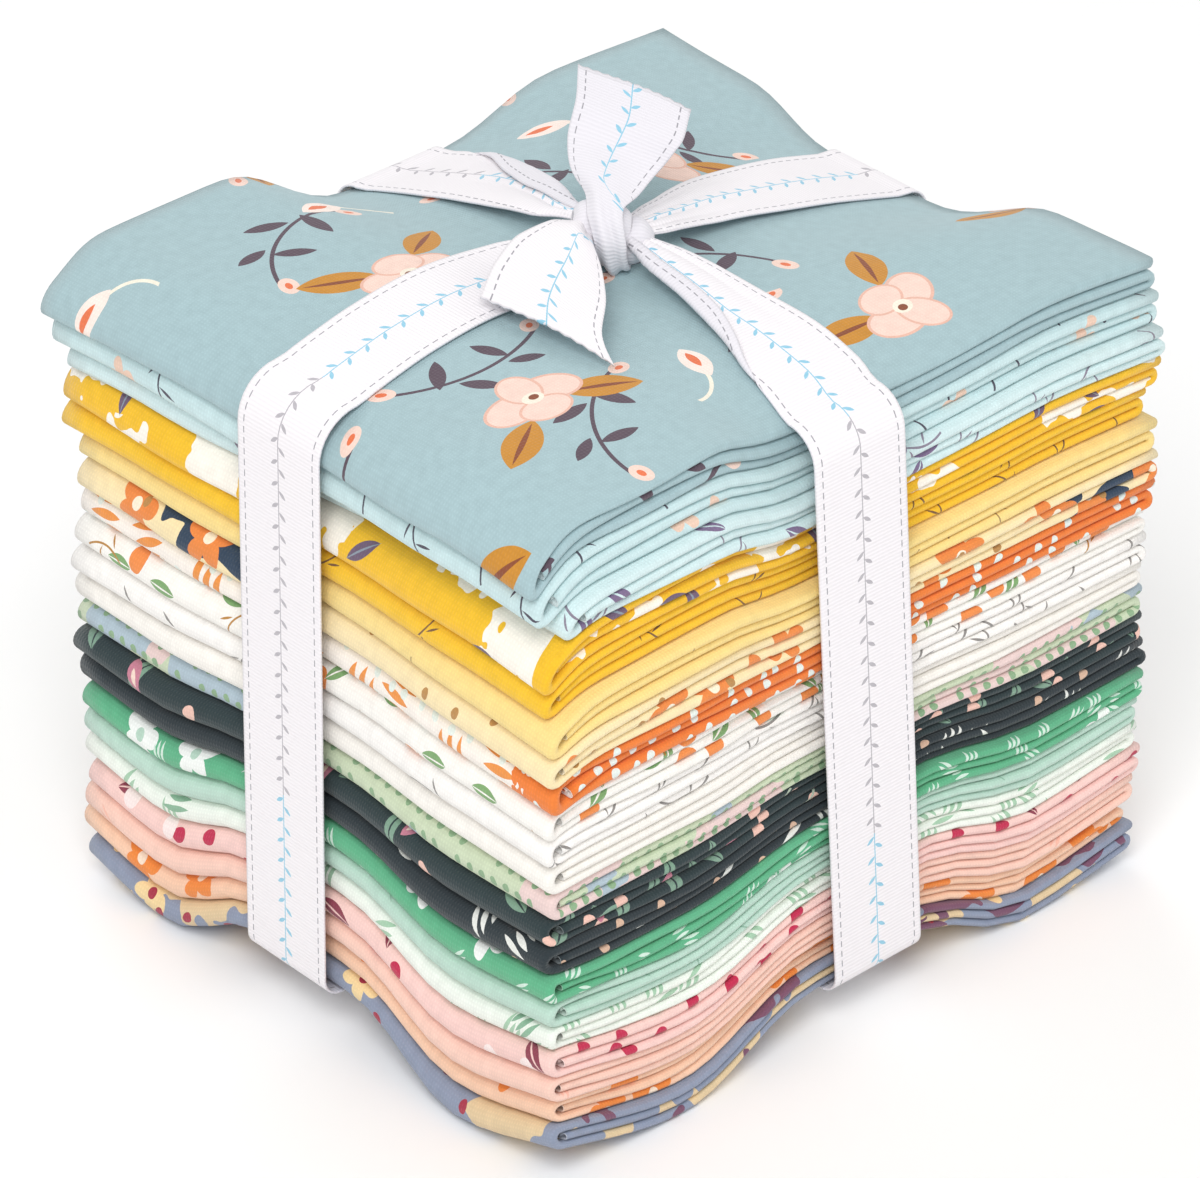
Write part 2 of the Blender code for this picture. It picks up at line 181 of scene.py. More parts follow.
@dataclass
class Face:
    """The bundle's top or underside, where the ribbon presses troughs between four lobes.

    Each section has its place along X and then its heights at the near edge, the near lobe, the tie, the far
    lobe and the far edge. The lines are these heights' places along Y, with the tie at both sides of the
    ribbon that runs along X. The two middle sections lie beside the other ribbon and lean with it.
    """
    lines: tuple
    lean: float
    sections: tuple
    # The heights are kept on a square mesh 1 mm apart, and cloth rounds off bends shorter than this
    reach: int = 92
    rounding: float = 3.0

    def __post_init__(self) -> None:
        """Work out the rounded heights once."""
        steps = np.arange(-self.reach, self.reach + 1, dtype=float)
        x, y = np.meshgrid(steps, steps, indexing="ij")
        self.relief = self.rounded(self.sharp(x, y))

    def beside_ribbon(self) -> tuple:
        """Which sections lie beside the ribbon along Y: 1 for these and 0 for the others."""
        middle = (len(self.sections) - 1) // 2
        return tuple(float(number in (middle, middle + 1)) for number in range(len(self.sections)))

    def sharp(self, x: Array, y: Array) -> Array:
        """Read the heights as the table has them.

        Args:
            x: Places along X.
            y: Places along Y, in the same shape.

        Returns:
            The heights.
        """
        heights, stations = [], []
        for section, beside in zip(self.sections, self.beside_ribbon()):
            station, near_edge, near_lobe, tie, far_lobe, far_edge = section
            row = (near_edge, near_lobe, tie, tie, far_lobe, far_edge)
            heights.append(glide_row(y, self.lines, row).ravel())
            stations.append((station + self.lean * beside * y).ravel())
        values = glide(x.ravel(), np.stack(stations, axis=1), np.stack(heights, axis=1))
        return values.reshape(x.shape)

    def rounded(self, heights: Array) -> Array:
        """Round off short bends in a mesh of heights, which keeps its slope past its rim.

        Args:
            heights: The mesh of heights.

        Returns:
            The rounded mesh, of the same size.
        """
        half = round(self.rounding * 3)
        weights = np.exp(-0.5 * (np.arange(-half, half + 1) / self.rounding) ** 2)
        weights /= weights.sum()
        wide = np.pad(heights, half, mode="reflect", reflect_type="odd")
        for axis in (0, 1):
            wide = np.apply_along_axis(np.convolve, axis, wide, weights, mode="same")
        return wide[half:-half, half:-half]

    def height(self, x: Array, y: Array) -> Array:
        """Read the rounded heights between the four nearest points of the mesh.

        Args:
            x: Places along X.
            y: Places along Y, in the same shape.

        Returns:
            The heights.
        """
        column = np.clip(x + self.reach, 0, 2 * self.reach - 1e-6)
        row = np.clip(y + self.reach, 0, 2 * self.reach - 1e-6)
        i, j = column.astype(int), row.astype(int)
        u, v = column - i, row - j
        near = self.relief[i, j] * (1 - u) + self.relief[i + 1, j] * u
        far = self.relief[i, j + 1] * (1 - u) + self.relief[i + 1, j + 1] * u
        return near * (1 - v) + far * v

    def pull_at_folds(self, y: Array) -> Array:
        """How strongly the ribbon pulls in the edges at -X and +X, from 0 to 1."""
        return glide_row(y, self.lines, (0, 0, 1, 1, 0, 0))

    def pull_at_ends(self, x: Array, y: Array) -> Array:
        """How strongly the ribbon pulls in the edges at -Y and +Y, from 0 to 1."""
        stations = tuple(section[0] for section in self.sections)
        return glide_row(x - self.lean * y, stations, self.beside_ribbon())


@dataclass(frozen=True)
class StackForm:
    """The heights of every level between the bundle's layers, each one a little uneven."""
    top: Face
    under: Face
    level_ripple: float = 0.13
    top_ripple: float = 0.3

    def level(self, number: int, x: Array, y: Array) -> Array:
        """Height of a level between two layers.

        Args:
            number: How many layers lie under the level.
            x: Places along X.
            y: Places along Y, in the same shape.

        Returns:
            The heights.
        """
        if number <= LOWER_LAYERS:
            under = self.under.height(x, y)
            height = under + (LEVEL_HEIGHT - under) * number / LOWER_LAYERS
        else:
            share = (number - LOWER_LAYERS) / (ALL_LAYERS - LOWER_LAYERS)
            height = LEVEL_HEIGHT + (self.top.height(x, y) - LEVEL_HEIGHT) * share
        size = {0: 0.0, ALL_LAYERS: self.top_ripple}.get(number, self.level_ripple)
        return height + Ripple(Seed.LEVELS + number, size).at(x, y)


STACK = StackForm(
    top=Face((-HALF_LENGTH, -40.0, -11.5, 16.5, 42.0, HALF_LENGTH), 0.0526, (
        (-HALF_DEPTH, 129.0, 131.5, 128.2, 132.0, 131.0),
        (-65.0, 137.0, 138.5, 135.5, 138.5, 137.5),
        (-34.0, 138.0, 139.5, 138.5, 138.5, 137.5),
        (-11.75, 130.8, 136.5, 136.0, 132.5, 125.0),
        (15.25, 130.8, 136.5, 136.0, 132.5, 125.0),
        (46.0, 135.0, 136.5, 131.0, 132.5, 130.0),
        (HALF_DEPTH, 132.5, 132.5, 122.8, 128.0, 129.0))),
    under=Face((-HALF_LENGTH, -40.0, -9.0, 19.0, 42.0, HALF_LENGTH), 0.0, (
        (-HALF_DEPTH, 8.0, 0.0, 10.5, 0.0, 5.0),
        (-42.0, 0.0, 0.0, 5.5, 0.0, 0.0),
        (-8.0, 9.5, 4.5, 3.5, 4.0, 8.5),
        (20.0, 9.5, 4.5, 3.5, 4.0, 8.5),
        (46.0, 0.0, 0.0, 5.5, 0.0, 0.0),
        (HALF_DEPTH, 3.5, 0.0, 10.0, 0.0, 4.0))),
)


def close_sheet(name: str, grid: Array, thickness: float, uv: Array, shift: Array,
                materials: list) -> bpy.types.Object:
    """Make a thin closed sheet from the grid of points in its middle.

    Args:
        name: The new object's name.
        grid: Points in millimetres, columns by rows by 3.
        thickness: The sheet's thickness in millimetres.
        uv: Place of each point on the flat cloth, in metres, columns by rows by 2.
        shift: Shift from the table's middle to the frame's origin, in millimetres.
        materials: The right side's material and the wrong side's.

    Returns:
        The object, with its place in its mesh.
    """
    offset = sheet_normals(grid) * thickness / 2
    columns, rows = grid.shape[:2]
    count = columns * rows
    number = np.arange(count).reshape(columns, rows)
    cells = np.stack([number[:-1, :-1], number[1:, :-1], number[1:, 1:], number[:-1, 1:]], axis=2)
    right = cells.reshape(-1, 4)
    rim = np.concatenate([number[:, 0], number[-1, 1:], number[-2::-1, -1], number[0, -2:0:-1]])
    after = np.roll(rim, -1)
    wall = np.stack([after, rim, rim + count, after + count], axis=1)
    faces = np.concatenate([right, right[:, ::-1] + count, wall])
    points = np.concatenate([(grid + offset).reshape(-1, 3), (grid - offset).reshape(-1, 3)])
    mesh = bpy.data.meshes.new(name)
    mesh.from_pydata(((points + shift) * MM).tolist(), [], faces.tolist())
    flat = np.concatenate([uv.reshape(-1, 2)] * 2)[faces.ravel()]
    layer = mesh.uv_layers.new(name="flat_cloth")
    layer.data.foreach_set("uv", flat.astype(np.float32).ravel())
    for material in materials:
        mesh.materials.append(material)
    wrong_side = np.arange(len(faces)) >= len(right)
    mesh.polygons.foreach_set("material_index", wrong_side.astype(np.int32))
    mesh.shade_smooth()
    mesh.update()
    piece = bpy.data.objects.new(name, mesh)
    bpy.context.scene.collection.objects.link(piece)
    return piece


def linear_colour(hex_code: str) -> tuple:
    """Turn a hex code into a colour for a shader.

    Args:
        hex_code: The sRGB colour in six digits.

    Returns:
        The linear red, green, blue and alpha.
    """
    channels = [int(hex_code[i:i + 2], 16) / 255 for i in (0, 2, 4)]
    linear = [((c + 0.055) / 1.055) ** 2.4 if c > 0.04045 else c / 12.92 for c in channels]
    return (*linear, 1.0)


def add_node(tree: bpy.types.NodeTree, kind: str, inputs: Optional[dict] = None,
             **settings: object) -> bpy.types.Node:
    """Add a node with its settings and links.

    Args:
        tree: The node tree.
        kind: The node's type.
        inputs: Sockets by name or number, each with a value or the output that feeds it.
        settings: The node's own properties.

    Returns:
        The new node.
    """
    node = tree.nodes.new(kind)
    for name, value in settings.items():
        setattr(node, name, value)
    for socket, value in (inputs or {}).items():
        if isinstance(value, bpy.types.NodeSocket):
            tree.links.new(value, node.inputs[socket])
        else:
            node.inputs[socket].default_value = value
    return node


class Shape(Enum):
    """The motifs that the prints are made of."""
    SPRIG = "a curved stem with pointed leaves and small buds"
    BLOSSOM = "an open flower of four broad petals, with a veined leaf at each side"
    FLOWER = "a small five-petalled flower"
    LEAF = "a single pointed leaf with its midrib"
    DOT = "a round dot, slightly oval"
    PATCH = "a broad patch whose outline wanders"
    STROKE = "three short brush strokes side by side"
    TWIG = "a thin bent line with two side twigs"
    BUD = "a drop-shaped bud on a curved stalk"
    BAND = "a broad band across the cloth, which repeats at every cell"


class Kind(Enum):
    """What one part of a motif is."""
    OVAL = "an oval"
    LEAF = "two round sides that meet in points"
    STEM = "the part of a ring that lies in a window"


class Part(NamedTuple):
    """One part of a motif, in motif sizes, with its turn in degrees and the number of its ink.

    An oval or a leaf has its half length and half width as its size, and a stem its radius and half width.
    """
    kind: Kind
    middle: tuple
    size: tuple
    turn: float = 0.0
    ink: int = 0
    window: Optional["Part"] = None


OVAL, LEAF, STEM = Kind
PARTS = {
    Shape.SPRIG: (
        Part(STEM, (0.0, 1.25), (1.5, 0.022), window=Part(OVAL, (0.0, -0.1), (1.0, 0.42))),
        Part(LEAF, (-0.34, -0.02), (0.26, 0.085), 62.0), Part(LEAF, (-0.1, -0.46), (0.24, 0.08), -48.0),
        Part(LEAF, (0.3, 0.0), (0.22, 0.075), 118.0), Part(LEAF, (0.52, -0.36), (0.2, 0.07), -20.0),
        *(Part(OVAL, middle, size, turn, ink)
          for middle, turn in (((-0.92, 0.1), 140.0), ((0.93, 0.16), 40.0))
          for size, ink in (((0.15, 0.1), 1), ((0.06, 0.035), 2)))),
    Shape.BLOSSOM: (
        *(Part(LEAF, middle, size, turn, ink)
          for middle, turn in (((0.72, -0.22), -28.0), ((-0.6, -0.5), 38.0))
          for size, ink in (((0.46, 0.2), 2), ((0.4, 0.03), 3))),
        *(Part(OVAL, middle, (long * narrower, wide * thinner), turn, ink)
          for middle, long, wide, turn in (
              ((-0.28, 0.08), 0.36, 0.26, 20.0), ((0.3, 0.16), 0.36, 0.25, -25.0),
              ((0.02, 0.34), 0.3, 0.24, 90.0), ((0.02, -0.12), 0.32, 0.22, 0.0))
          for narrower, thinner, ink in ((1.0, 1.0, 1), (0.9, 0.86, 0))),
        Part(OVAL, (0.03, 0.12), (0.13, 0.1), ink=4), Part(OVAL, (0.05, 0.13), (0.06, 0.05), ink=3)),
    Shape.FLOWER: (
        *(Part(OVAL, (0.5 * math.cos(math.radians(turn)), 0.5 * math.sin(math.radians(turn))),
               (0.42, 0.3), turn) for turn in (0.0, 72.0, 144.0, 216.0, 288.0)),
        Part(OVAL, (0.0, 0.0), (0.2, 0.2), ink=1)),
    Shape.LEAF: (Part(LEAF, (0.0, 0.0), (1.0, 0.36)), Part(LEAF, (0.0, 0.0), (1.1, 0.05), ink=1)),
    Shape.DOT: (Part(OVAL, (0.0, 0.0), (1.0, 0.82)),),
    Shape.STROKE: (Part(LEAF, (0.0, -0.45), (0.9, 0.14)), Part(LEAF, (0.1, 0.0), (0.75, 0.14)),
                   Part(LEAF, (-0.05, 0.45), (0.6, 0.14))),
    Shape.TWIG: (Part(STEM, (0.2, 1.6), (1.7, 0.035), window=Part(OVAL, (0.0, 0.0), (1.0, 0.8))),
                 Part(LEAF, (0.35, 0.25), (0.35, 0.04), 60.0), Part(LEAF, (-0.3, -0.3), (0.3, 0.04), -50.0)),
    Shape.BUD: (Part(STEM, (0.75, -0.1), (0.85, 0.04), window=Part(OVAL, (0.35, 0.5), (0.55, 0.55))),
                Part(LEAF, (-0.2, -0.2), (0.55, 0.26), 75.0, 1),
                Part(LEAF, (-0.24, -0.28), (0.28, 0.09), 75.0, 2)),
}


class Motif(NamedTuple):
    """One scattered motif of a print: its shape, pitch and size in millimetres, its inks and its share."""
    shape: Shape
    cell: float
    size: float
    inks: str
    share: float = 1.0
    seed: float = 0.0
    scatter: float = 0.55


class PrintPainter:
    """Paints a print into a new material's nodes, from the ground up."""
    # The wave texture repeats every tenth of pi at scale 1
    WAVE_TURN = math.pi / 10
    BUMP_DEPTH = 0.0002

    def __init__(self, name: str, ground: str) -> None:
        """Start a print.

        Args:
            name: The material's name.
            ground: The hex colour of the ground.
        """
        self.material = bpy.data.materials.new(name)
        self.material.use_nodes = True
        self.tree = self.material.node_tree
        flat = add_node(self.tree, "ShaderNodeUVMap", uv_map="flat_cloth")
        self.place = self.vector("MULTIPLY", flat.outputs[0], (1 / MM, 1 / MM, 0.0))
        self.colour: Union[Socket, tuple] = linear_colour(ground)

    def math(self, operation: str, *values: Union[Socket, float]) -> Socket:
        """Work out one number from others."""
        return add_node(self.tree, "ShaderNodeMath", dict(enumerate(values)), operation=operation).outputs[0]

    def vector(self, operation: str, *values: Union[Socket, tuple]) -> Socket:
        """Work out one vector from others."""
        node = add_node(self.tree, "ShaderNodeVectorMath", dict(enumerate(values)), operation=operation)
        return node.outputs[0]

    def length(self, vector: Socket) -> Socket:
        """Length of a vector."""
        return add_node(self.tree, "ShaderNodeVectorMath", {0: vector}, operation="LENGTH").outputs["Value"]

    def cycle(self, value: Socket, pitch: float) -> Socket:
        """How far through its repeat a value is, from 0 to 1."""
        return self.math("FRACT", self.math("DIVIDE", value, pitch))

    def noise(self, scale: float, detail: float) -> Socket:
        """Soft random clouds over the cloth."""
        inputs = {"Vector": self.place, "Scale": scale, "Detail": detail}
        return add_node(self.tree, "ShaderNodeTexNoise", inputs).outputs["Fac"]

    def threads(self, pitch: float, direction: str, wander: float) -> Socket:
        """Rounded threads or ribs at a pitch in millimetres, one after the other along X or Y."""
        inputs = {"Vector": self.place, "Scale": self.WAVE_TURN / pitch, "Distortion": wander, "Detail": 1.0}
        return add_node(self.tree, "ShaderNodeTexWave", inputs, bands_direction=direction).outputs["Fac"]

    def cells(self, motif: Motif) -> tuple:
        """Scatter the places of a motif over the cloth.

        Args:
            motif: The motif, with its pitch, scatter and seed.

        Returns:
            The place within a motif in motif sizes, turned its own way, and a random number for it.
        """
        pitch = 1 / motif.cell
        start = (motif.seed, motif.seed * 1.7, 0.0)
        moved = self.vector("MULTIPLY_ADD", self.place, (pitch, pitch, 0.0), start)
        cell = add_node(self.tree, "ShaderNodeTexVoronoi",
                        {"Vector": moved, "Scale": 1.0, "Randomness": motif.scatter}, voronoi_dimensions="2D")
        apart = self.vector("SUBTRACT", moved, cell.outputs["Position"])
        sized = self.vector("MULTIPLY", apart, (motif.cell / motif.size,) * 3)
        draws = add_node(self.tree, "ShaderNodeSeparateColor", {0: cell.outputs["Color"]})
        turn = self.math("MULTIPLY", draws.outputs[0], 2 * math.pi)
        local = add_node(self.tree, "ShaderNodeVectorRotate", {"Vector": sized, "Angle": turn},
                         rotation_type="Z_AXIS")
        return local.outputs[0], draws.outputs[1]

    def mask(self, local: Socket, part: Part) -> Socket:
        """Mark where one part of a motif is.

        Args:
            local: The place within the motif.
            part: The part.

        Returns:
            1 inside the part and 0 outside.
        """
        long, wide = part.size
        scale = part.size if part.kind is OVAL else (long, long)
        own = add_node(self.tree, "ShaderNodeMapping",
                       {"Vector": local, "Location": (*part.middle, 0.0), "Scale": (*scale, 1.0),
                        "Rotation": (0.0, 0.0, math.radians(part.turn))}, vector_type="TEXTURE").outputs[0]
        if part.kind is OVAL:
            return self.math("LESS_THAN", self.length(own), 1.0)
        if part.kind is STEM:
            ring = self.math("COMPARE", self.length(own), 1.0, wide / long)
            return self.math("MULTIPLY", ring, self.mask(local, part.window))
        side = long / wide
        bulge = (side - 1 / side) / 2
        moved = self.vector("ADD", self.vector("ABSOLUTE", own), (0.0, bulge, 0.0))
        return self.math("LESS_THAN", self.length(moved), math.hypot(1.0, bulge))

    def band(self, motif: Motif) -> Socket:
        """Mark a band along the short side with a worn, uneven edge.

        Args:
            motif: The band, with its pitch and half width.

        Returns:
            1 inside the band and 0 outside.
        """
        along = add_node(self.tree, "ShaderNodeSeparateXYZ", {0: self.place}).outputs[1]
        apart = self.math("ABSOLUTE", self.math("SUBTRACT", self.cycle(along, motif.cell), 0.5))
        reach = self.math("MULTIPLY", self.noise(0.35, 2.0), 2 * motif.size / motif.cell)
        return self.math("LESS_THAN", apart, reach)

    def patch(self, local: Socket, motif: Motif) -> Socket:
        """Mark a broad patch whose outline wanders."""
        reach = self.math("MULTIPLY_ADD", self.noise(1.6 / motif.size, 1.0), 1.6, 0.2)
        return self.math("LESS_THAN", self.length(local), reach)

    def paint(self, mask: Socket, colour: str) -> None:
        """Lay a colour over the print so far, where the mask is 1."""
        inputs = {"Factor": mask, 6: self.colour, 7: linear_colour(colour)}
        self.colour = add_node(self.tree, "ShaderNodeMix", inputs, data_type="RGBA").outputs[2]

    def shade(self, factor: Socket) -> None:
        """Make the print so far darker or lighter.

        Args:
            factor: The factor for its brightness.
        """
        inputs = {"Factor": 1.0, 6: self.colour, 7: factor}
        node = add_node(self.tree, "ShaderNodeMix", inputs, data_type="RGBA", blend_type="MULTIPLY")
        self.colour = node.outputs[2]

    def add(self, motif: Motif) -> None:
        """Paint one motif of the print all over the cloth.

        Args:
            motif: The motif.
        """
        inks = motif.inks.split()
        if motif.shape is Shape.BAND:
            self.paint(self.band(motif), inks[0])
            return
        local, chance = self.cells(motif)
        kept = self.math("LESS_THAN", chance, motif.share)
        if motif.shape is Shape.PATCH:
            self.paint(self.math("MULTIPLY", self.patch(local, motif), kept), inks[0])
            return
        for part in PARTS[motif.shape]:
            self.paint(self.math("MULTIPLY", self.mask(local, part), kept), inks[part.ink])

    def finish(self, height: Socket, strength: float, values: dict) -> bpy.types.Material:
        """Link the print and its bump to the shader.

        Args:
            height: The bump's height.
            strength: The bump's strength.
            values: The shader's other values by name.

        Returns:
            The finished material.
        """
        bump = add_node(self.tree, "ShaderNodeBump",
                        {"Height": height, "Strength": strength, "Distance": self.BUMP_DEPTH})
        shader = self.tree.nodes["Principled BSDF"]
        self.tree.links.new(self.colour, shader.inputs["Base Color"])
        self.tree.links.new(bump.outputs[0], shader.inputs["Normal"])
        for name, value in values.items():
            shader.inputs[name].default_value = value
        return self.material


class ClothRow(NamedTuple):
    """One cloth: its number from the bottom, its print, its shift along Y, its folds' reach and its inks."""
    number: int
    design: str
    shift: float
    left_near: float
    left_far: float
    right: float
    ground: str
    wrong: str
    motifs: tuple

    @property
    def node(self) -> str:
        """The name of the cloth's node."""
        return f"cloth_{self.number:02d}"

    @property
    def slot(self) -> str:
        """The name of the cloth's material slot."""
        return f"cotton_{self.design}"


PLUM, BLUSH, CORAL, CREAM = "5A4A56", "F6D6C8", "E8764A", "F6EEDC"
PATCH, FLOWER, DOT, STROKE = Shape.PATCH, Shape.FLOWER, Shape.DOT, Shape.STROKE
SINGLE_LEAF, TWIG, BUD = Shape.LEAF, Shape.TWIG, Shape.BUD
CLOTHS = (
    ClothRow(1, "grey_blue_mix", -0.9, 0.0, 0.0, 0.0, "8E98AE", "C9CDD8", (
        Motif(PATCH, 26, 11, "E2C9A0", 0.6, 1.3), Motif(PATCH, 22, 8, "7A5068", 0.45, 3.9),
        Motif(FLOWER, 18, 5, "F2D7A2 A8344A", 0.6, 5.1), Motif(DOT, 9, 1.2, "A8344A", 0.5, 7.7))),
    ClothRow(2, "peach_flowers", 0.2, -1.5, -0.5, -0.5, "F6CBAE", "FBE9DE", (
        Motif(FLOWER, 17, 5.5, "EE8A3C F8E3CC", 0.7, 2.2),
        Motif(SINGLE_LEAF, 13, 3.6, "E9A36E F6CBAE", 0.5, 6.4))),
    ClothRow(3, "peach_pink", -1.2, 0.0, 0.5, 0.0, "F6CDBD", "FBE8E0", (
        Motif(STROKE, 12, 2.4, "F2BBA8", 0.5, 4.2),)),
    ClothRow(4, "pink_berries", -1.8, 0.5, 0.0, 0.5, "F6CEC7", "FBE8E5", (
        Motif(SINGLE_LEAF, 15, 4.2, "8E3E50 F6CEC7", 0.5, 1.9), Motif(DOT, 9, 1.7, "C2274E", 0.45, 4.6),
        Motif(DOT, 13, 2.2, "FBE9E6", 0.5, 8.8))),
    ClothRow(5, "white_green_streaks", -1.2, 0.0, -0.5, 0.0, "F0F5EC", "F8FAF6", (
        Motif(STROKE, 9, 3.4, "A9CDB0", 0.6, 2.7), Motif(STROKE, 14, 4.0, "8DB79A", 0.4, 5.3))),
    ClothRow(6, "sage", -1.6, 0.5, 0.0, -0.5, "BCDACB", "DFEEE6", (
        Motif(TWIG, 14, 5, "98BDAA", 0.6, 3.1),)),
    ClothRow(7, "green_flowers", -2.0, 1.0, 0.5, 0.5, "60B388", "AED6C1", (
        Motif(FLOWER, 16, 5.4, "F4F8F4 B9D8C6", 0.65, 1.1), Motif(STROKE, 8, 2.4, "D3EADC", 0.5, 6.6))),
    ClothRow(8, "charcoal_strokes", -0.8, 0.5, 0.0, 1.5, "2C363B", "7C8488", (
        Motif(STROKE, 11, 3.8, "E8EAE4", 0.45, 2.4), Motif(DOT, 10, 1.1, "D9B59C", 0.4, 7.2))),
    ClothRow(9, "charcoal_leaves", -0.2, 0.0, 0.5, 1.0, "2B3A3D", "7B8687", (
        Motif(SINGLE_LEAF, 12, 4.2, "7FA08C 2B3A3D", 0.6, 3.6), Motif(DOT, 11, 1.7, "EFC3B4", 0.5, 5.8),
        Motif(BUD, 24, 6.0, "B9C7B4 C77F93 F1D7C9", 0.6, 9.3))),
    ClothRow(10, "green_check", -0.6, -1.0, -0.5, 0.0, "C9D6B8", "E6ECDE", (
        Motif(PATCH, 30, 13, "E8CFCB", 0.5, 2.9), Motif(PATCH, 28, 11, "AEC0CB", 0.5, 6.1),
        Motif(DOT, 3.2, 0.9, "8FB08A", 0.75, 4.4, 0.1))),
    ClothRow(11, "off_white", -0.7, -0.5, 0.0, 0.5, "F6F2EB", "FAF8F4", (
        Motif(STROKE, 16, 2.6, "ECE6DA", 0.5, 1.7),)),
    ClothRow(12, "white_twigs", -1.1, 0.0, 0.5, 0.0, "F8F5F1", "FBFAF8", (
        Motif(TWIG, 15, 6.4, "8F8B88", 0.75, 3.3),)),
    ClothRow(13, "white_leaves", -1.3, 0.5, 0.0, -0.5, "F9F6F0", "FBFAF7", (
        Motif(DOT, 13, 2.6, "EF8F4A", 0.5, 2.0), Motif(SINGLE_LEAF, 15, 3.4, "7FA86E F9F6F0", 0.5, 7.9),
        Motif(TWIG, 17, 5, "B9863E", 0.5, 5.5))),
    ClothRow(14, "white_orange_stripes", -2.4, 0.0, -1.0, 0.0, "F9F1E8", "FBF7F2", (
        Motif(STROKE, 14, 5.6, "EC9546", 0.75, 1.5, 0.3), Motif(Shape.BAND, CUT_LONG / 2, 9.0, "EB8038"),
        Motif(DOT, 4.6, 1.0, "E5EFEA", 0.6, 3.7, 0.4))),
    ClothRow(15, "cream_orange", -3.0, 1.0, -0.5, 0.5, "F7E3B4", "FBF3DE", (
        Motif(PATCH, 44, 15, "2F4258", 0.22, 6.3), Motif(FLOWER, 20, 6, "E98A45 F9EFD8", 0.5, 4.9),
        Motif(DOT, 9, 1.0, "B98A50", 0.4, 2.3))),
    ClothRow(16, "pale_yellow", -2.2, 0.5, -1.0, 0.0, "F7DB8E", "FBEFCF", (
        Motif(TWIG, 14, 4.6, "A78A5A", 0.55, 5.9), Motif(DOT, 17, 1.3, "8E3E50", 0.4, 1.2))),
    ClothRow(17, "mustard", 0.1, -0.5, 0.0, -0.5, "F3C22C", "F8DF95", (
        Motif(TWIG, 15, 5.0, "7A5A3C", 0.5, 2.6),)),
    ClothRow(18, "mustard_patches", -0.3, 0.0, 0.5, 2.0, "F2BE28", "F8DD90", (
        Motif(PATCH, 17, 7.5, "FBF4E8", 0.62, 3.0), Motif(SINGLE_LEAF, 17, 3.8, "6E5A72 8E9AA8", 0.4, 7.4))),
    ClothRow(19, "light_aqua", -1.2, -5.0, -0.5, 2.4, "D3E8E9", "EAF4F4", (
        Motif(SINGLE_LEAF, 16, 3.8, "7D6A8C D3E8E9", 0.4, 1.8), Motif(TWIG, 18, 5.4, "8C8494", 0.5, 4.1))),
    ClothRow(20, "aqua_dark_motifs", 1.2, 0.0, 1.0, 3.0, "C8E0E2", "E4F0F1", (
        Motif(TWIG, 14, 6.0, "4E4A58", 0.7, 2.5), Motif(FLOWER, 24, 4.4, "EBC9B4 8A5A4C", 0.5, 6.9))),
    ClothRow(21, "dusty_aqua_floral", 2.6, 0.5, 1.8, 2.6, "A5BFC4", "D0DFE2", (
        Motif(Shape.SPRIG, 44, 18, f"{PLUM} {BLUSH} {CORAL}", 0.66, 3.4, 0.5),
        Motif(Shape.BLOSSOM, 62, 17, f"{BLUSH} E9B9A6 C98A2E 8A4A2C {CREAM}", 0.64, 9.6, 0.45),
        Motif(BUD, 52, 10, f"{CREAM} FBE9DF {CORAL}", 0.55, 14.2, 0.5))),
)


@dataclass(frozen=True)
class QuiltingCotton:
    """Quilting cotton: plain-woven combed yarn, printed on one side and lightly sized.

    It shows a matt face with a fine grid of threads, small slubs and a faint bloom of loose fibre, and the
    print comes through pale on the wrong side.
    """
    row: ClothRow
    # About 27 threads a centimetre are 0.37 mm apart, too fine for the render, so they are drawn at 0.7 mm
    thread_pitch: float = 0.7
    thread_wander: float = 0.6
    thread_bump: float = 0.34
    # Painted shade between the threads: the gaps are painted this much darker than the threads' tops
    gap_painted_shade: float = 0.1
    # Slubs stand out more than threads do, and change the colour a little
    slub_height: float = 1.2
    slub_shade: tuple = (0.94, 1.03)
    roughness: float = 0.88
    sheen: float = 0.18

    def side(self, name: str, ground: str, motifs: tuple) -> bpy.types.Material:
        """Make the material of one side.

        Args:
            name: The side's name.
            ground: Its ground colour.
            motifs: The motifs printed on it.

        Returns:
            The material.
        """
        painter = PrintPainter(f"quilting_cotton_{self.row.design}_{name}", ground)
        for motif in motifs:
            painter.add(motif)
        woven = [painter.threads(self.thread_pitch, direction, self.thread_wander) for direction in "XY"]
        weave = painter.math("MULTIPLY", *woven)
        slubs = painter.noise(0.45, 3.0)
        dark, light = self.slub_shade
        uneven = add_node(painter.tree, "ShaderNodeMapRange",
                          {"Value": slubs, "From Min": 0.3, "From Max": 0.7, "To Min": dark, "To Max": light})
        # Painted shade in the gaps between the threads, with their tops a little lighter, times the slubs'
        # own uneven tone
        threads = painter.math("MULTIPLY_ADD", weave, self.gap_painted_shade, 1.0 - self.gap_painted_shade * 0.6)
        painter.shade(painter.math("MULTIPLY", uneven.outputs[0], threads))
        height = painter.math("MULTIPLY_ADD", slubs, self.slub_height, weave)
        return painter.finish(height, self.thread_bump, {
            "Roughness": self.roughness, "Sheen Weight": self.sheen, "Sheen Roughness": 0.6,
            "Specular IOR Level": 0.2})

    def materials(self) -> list:
        """Make the printed right side and the paler wrong side."""
        return [self.side("printed", self.row.ground, self.row.motifs),
                self.side("wrong_side", self.row.wrong, ())]


class Panel(NamedTuple):
    """One of the four panels across the cloth's long side: its depth in the layer, and which way it runs."""
    steps: float
    depth: float
    towards_far: bool
    near_inset: float
    far_inset: float


# From the cloth's first raw edge on: depth 0 is the layer's outer side and 1 its inner side
PANELS = (Panel(1.0, 0.11, False, 0.0, 0.6), Panel(0.7, 0.89, True, 0.0, 0.3),
          Panel(0.7, 0.63, False, 1.1, 0.3), Panel(0.7, 0.37, True, 1.1, 1.4))


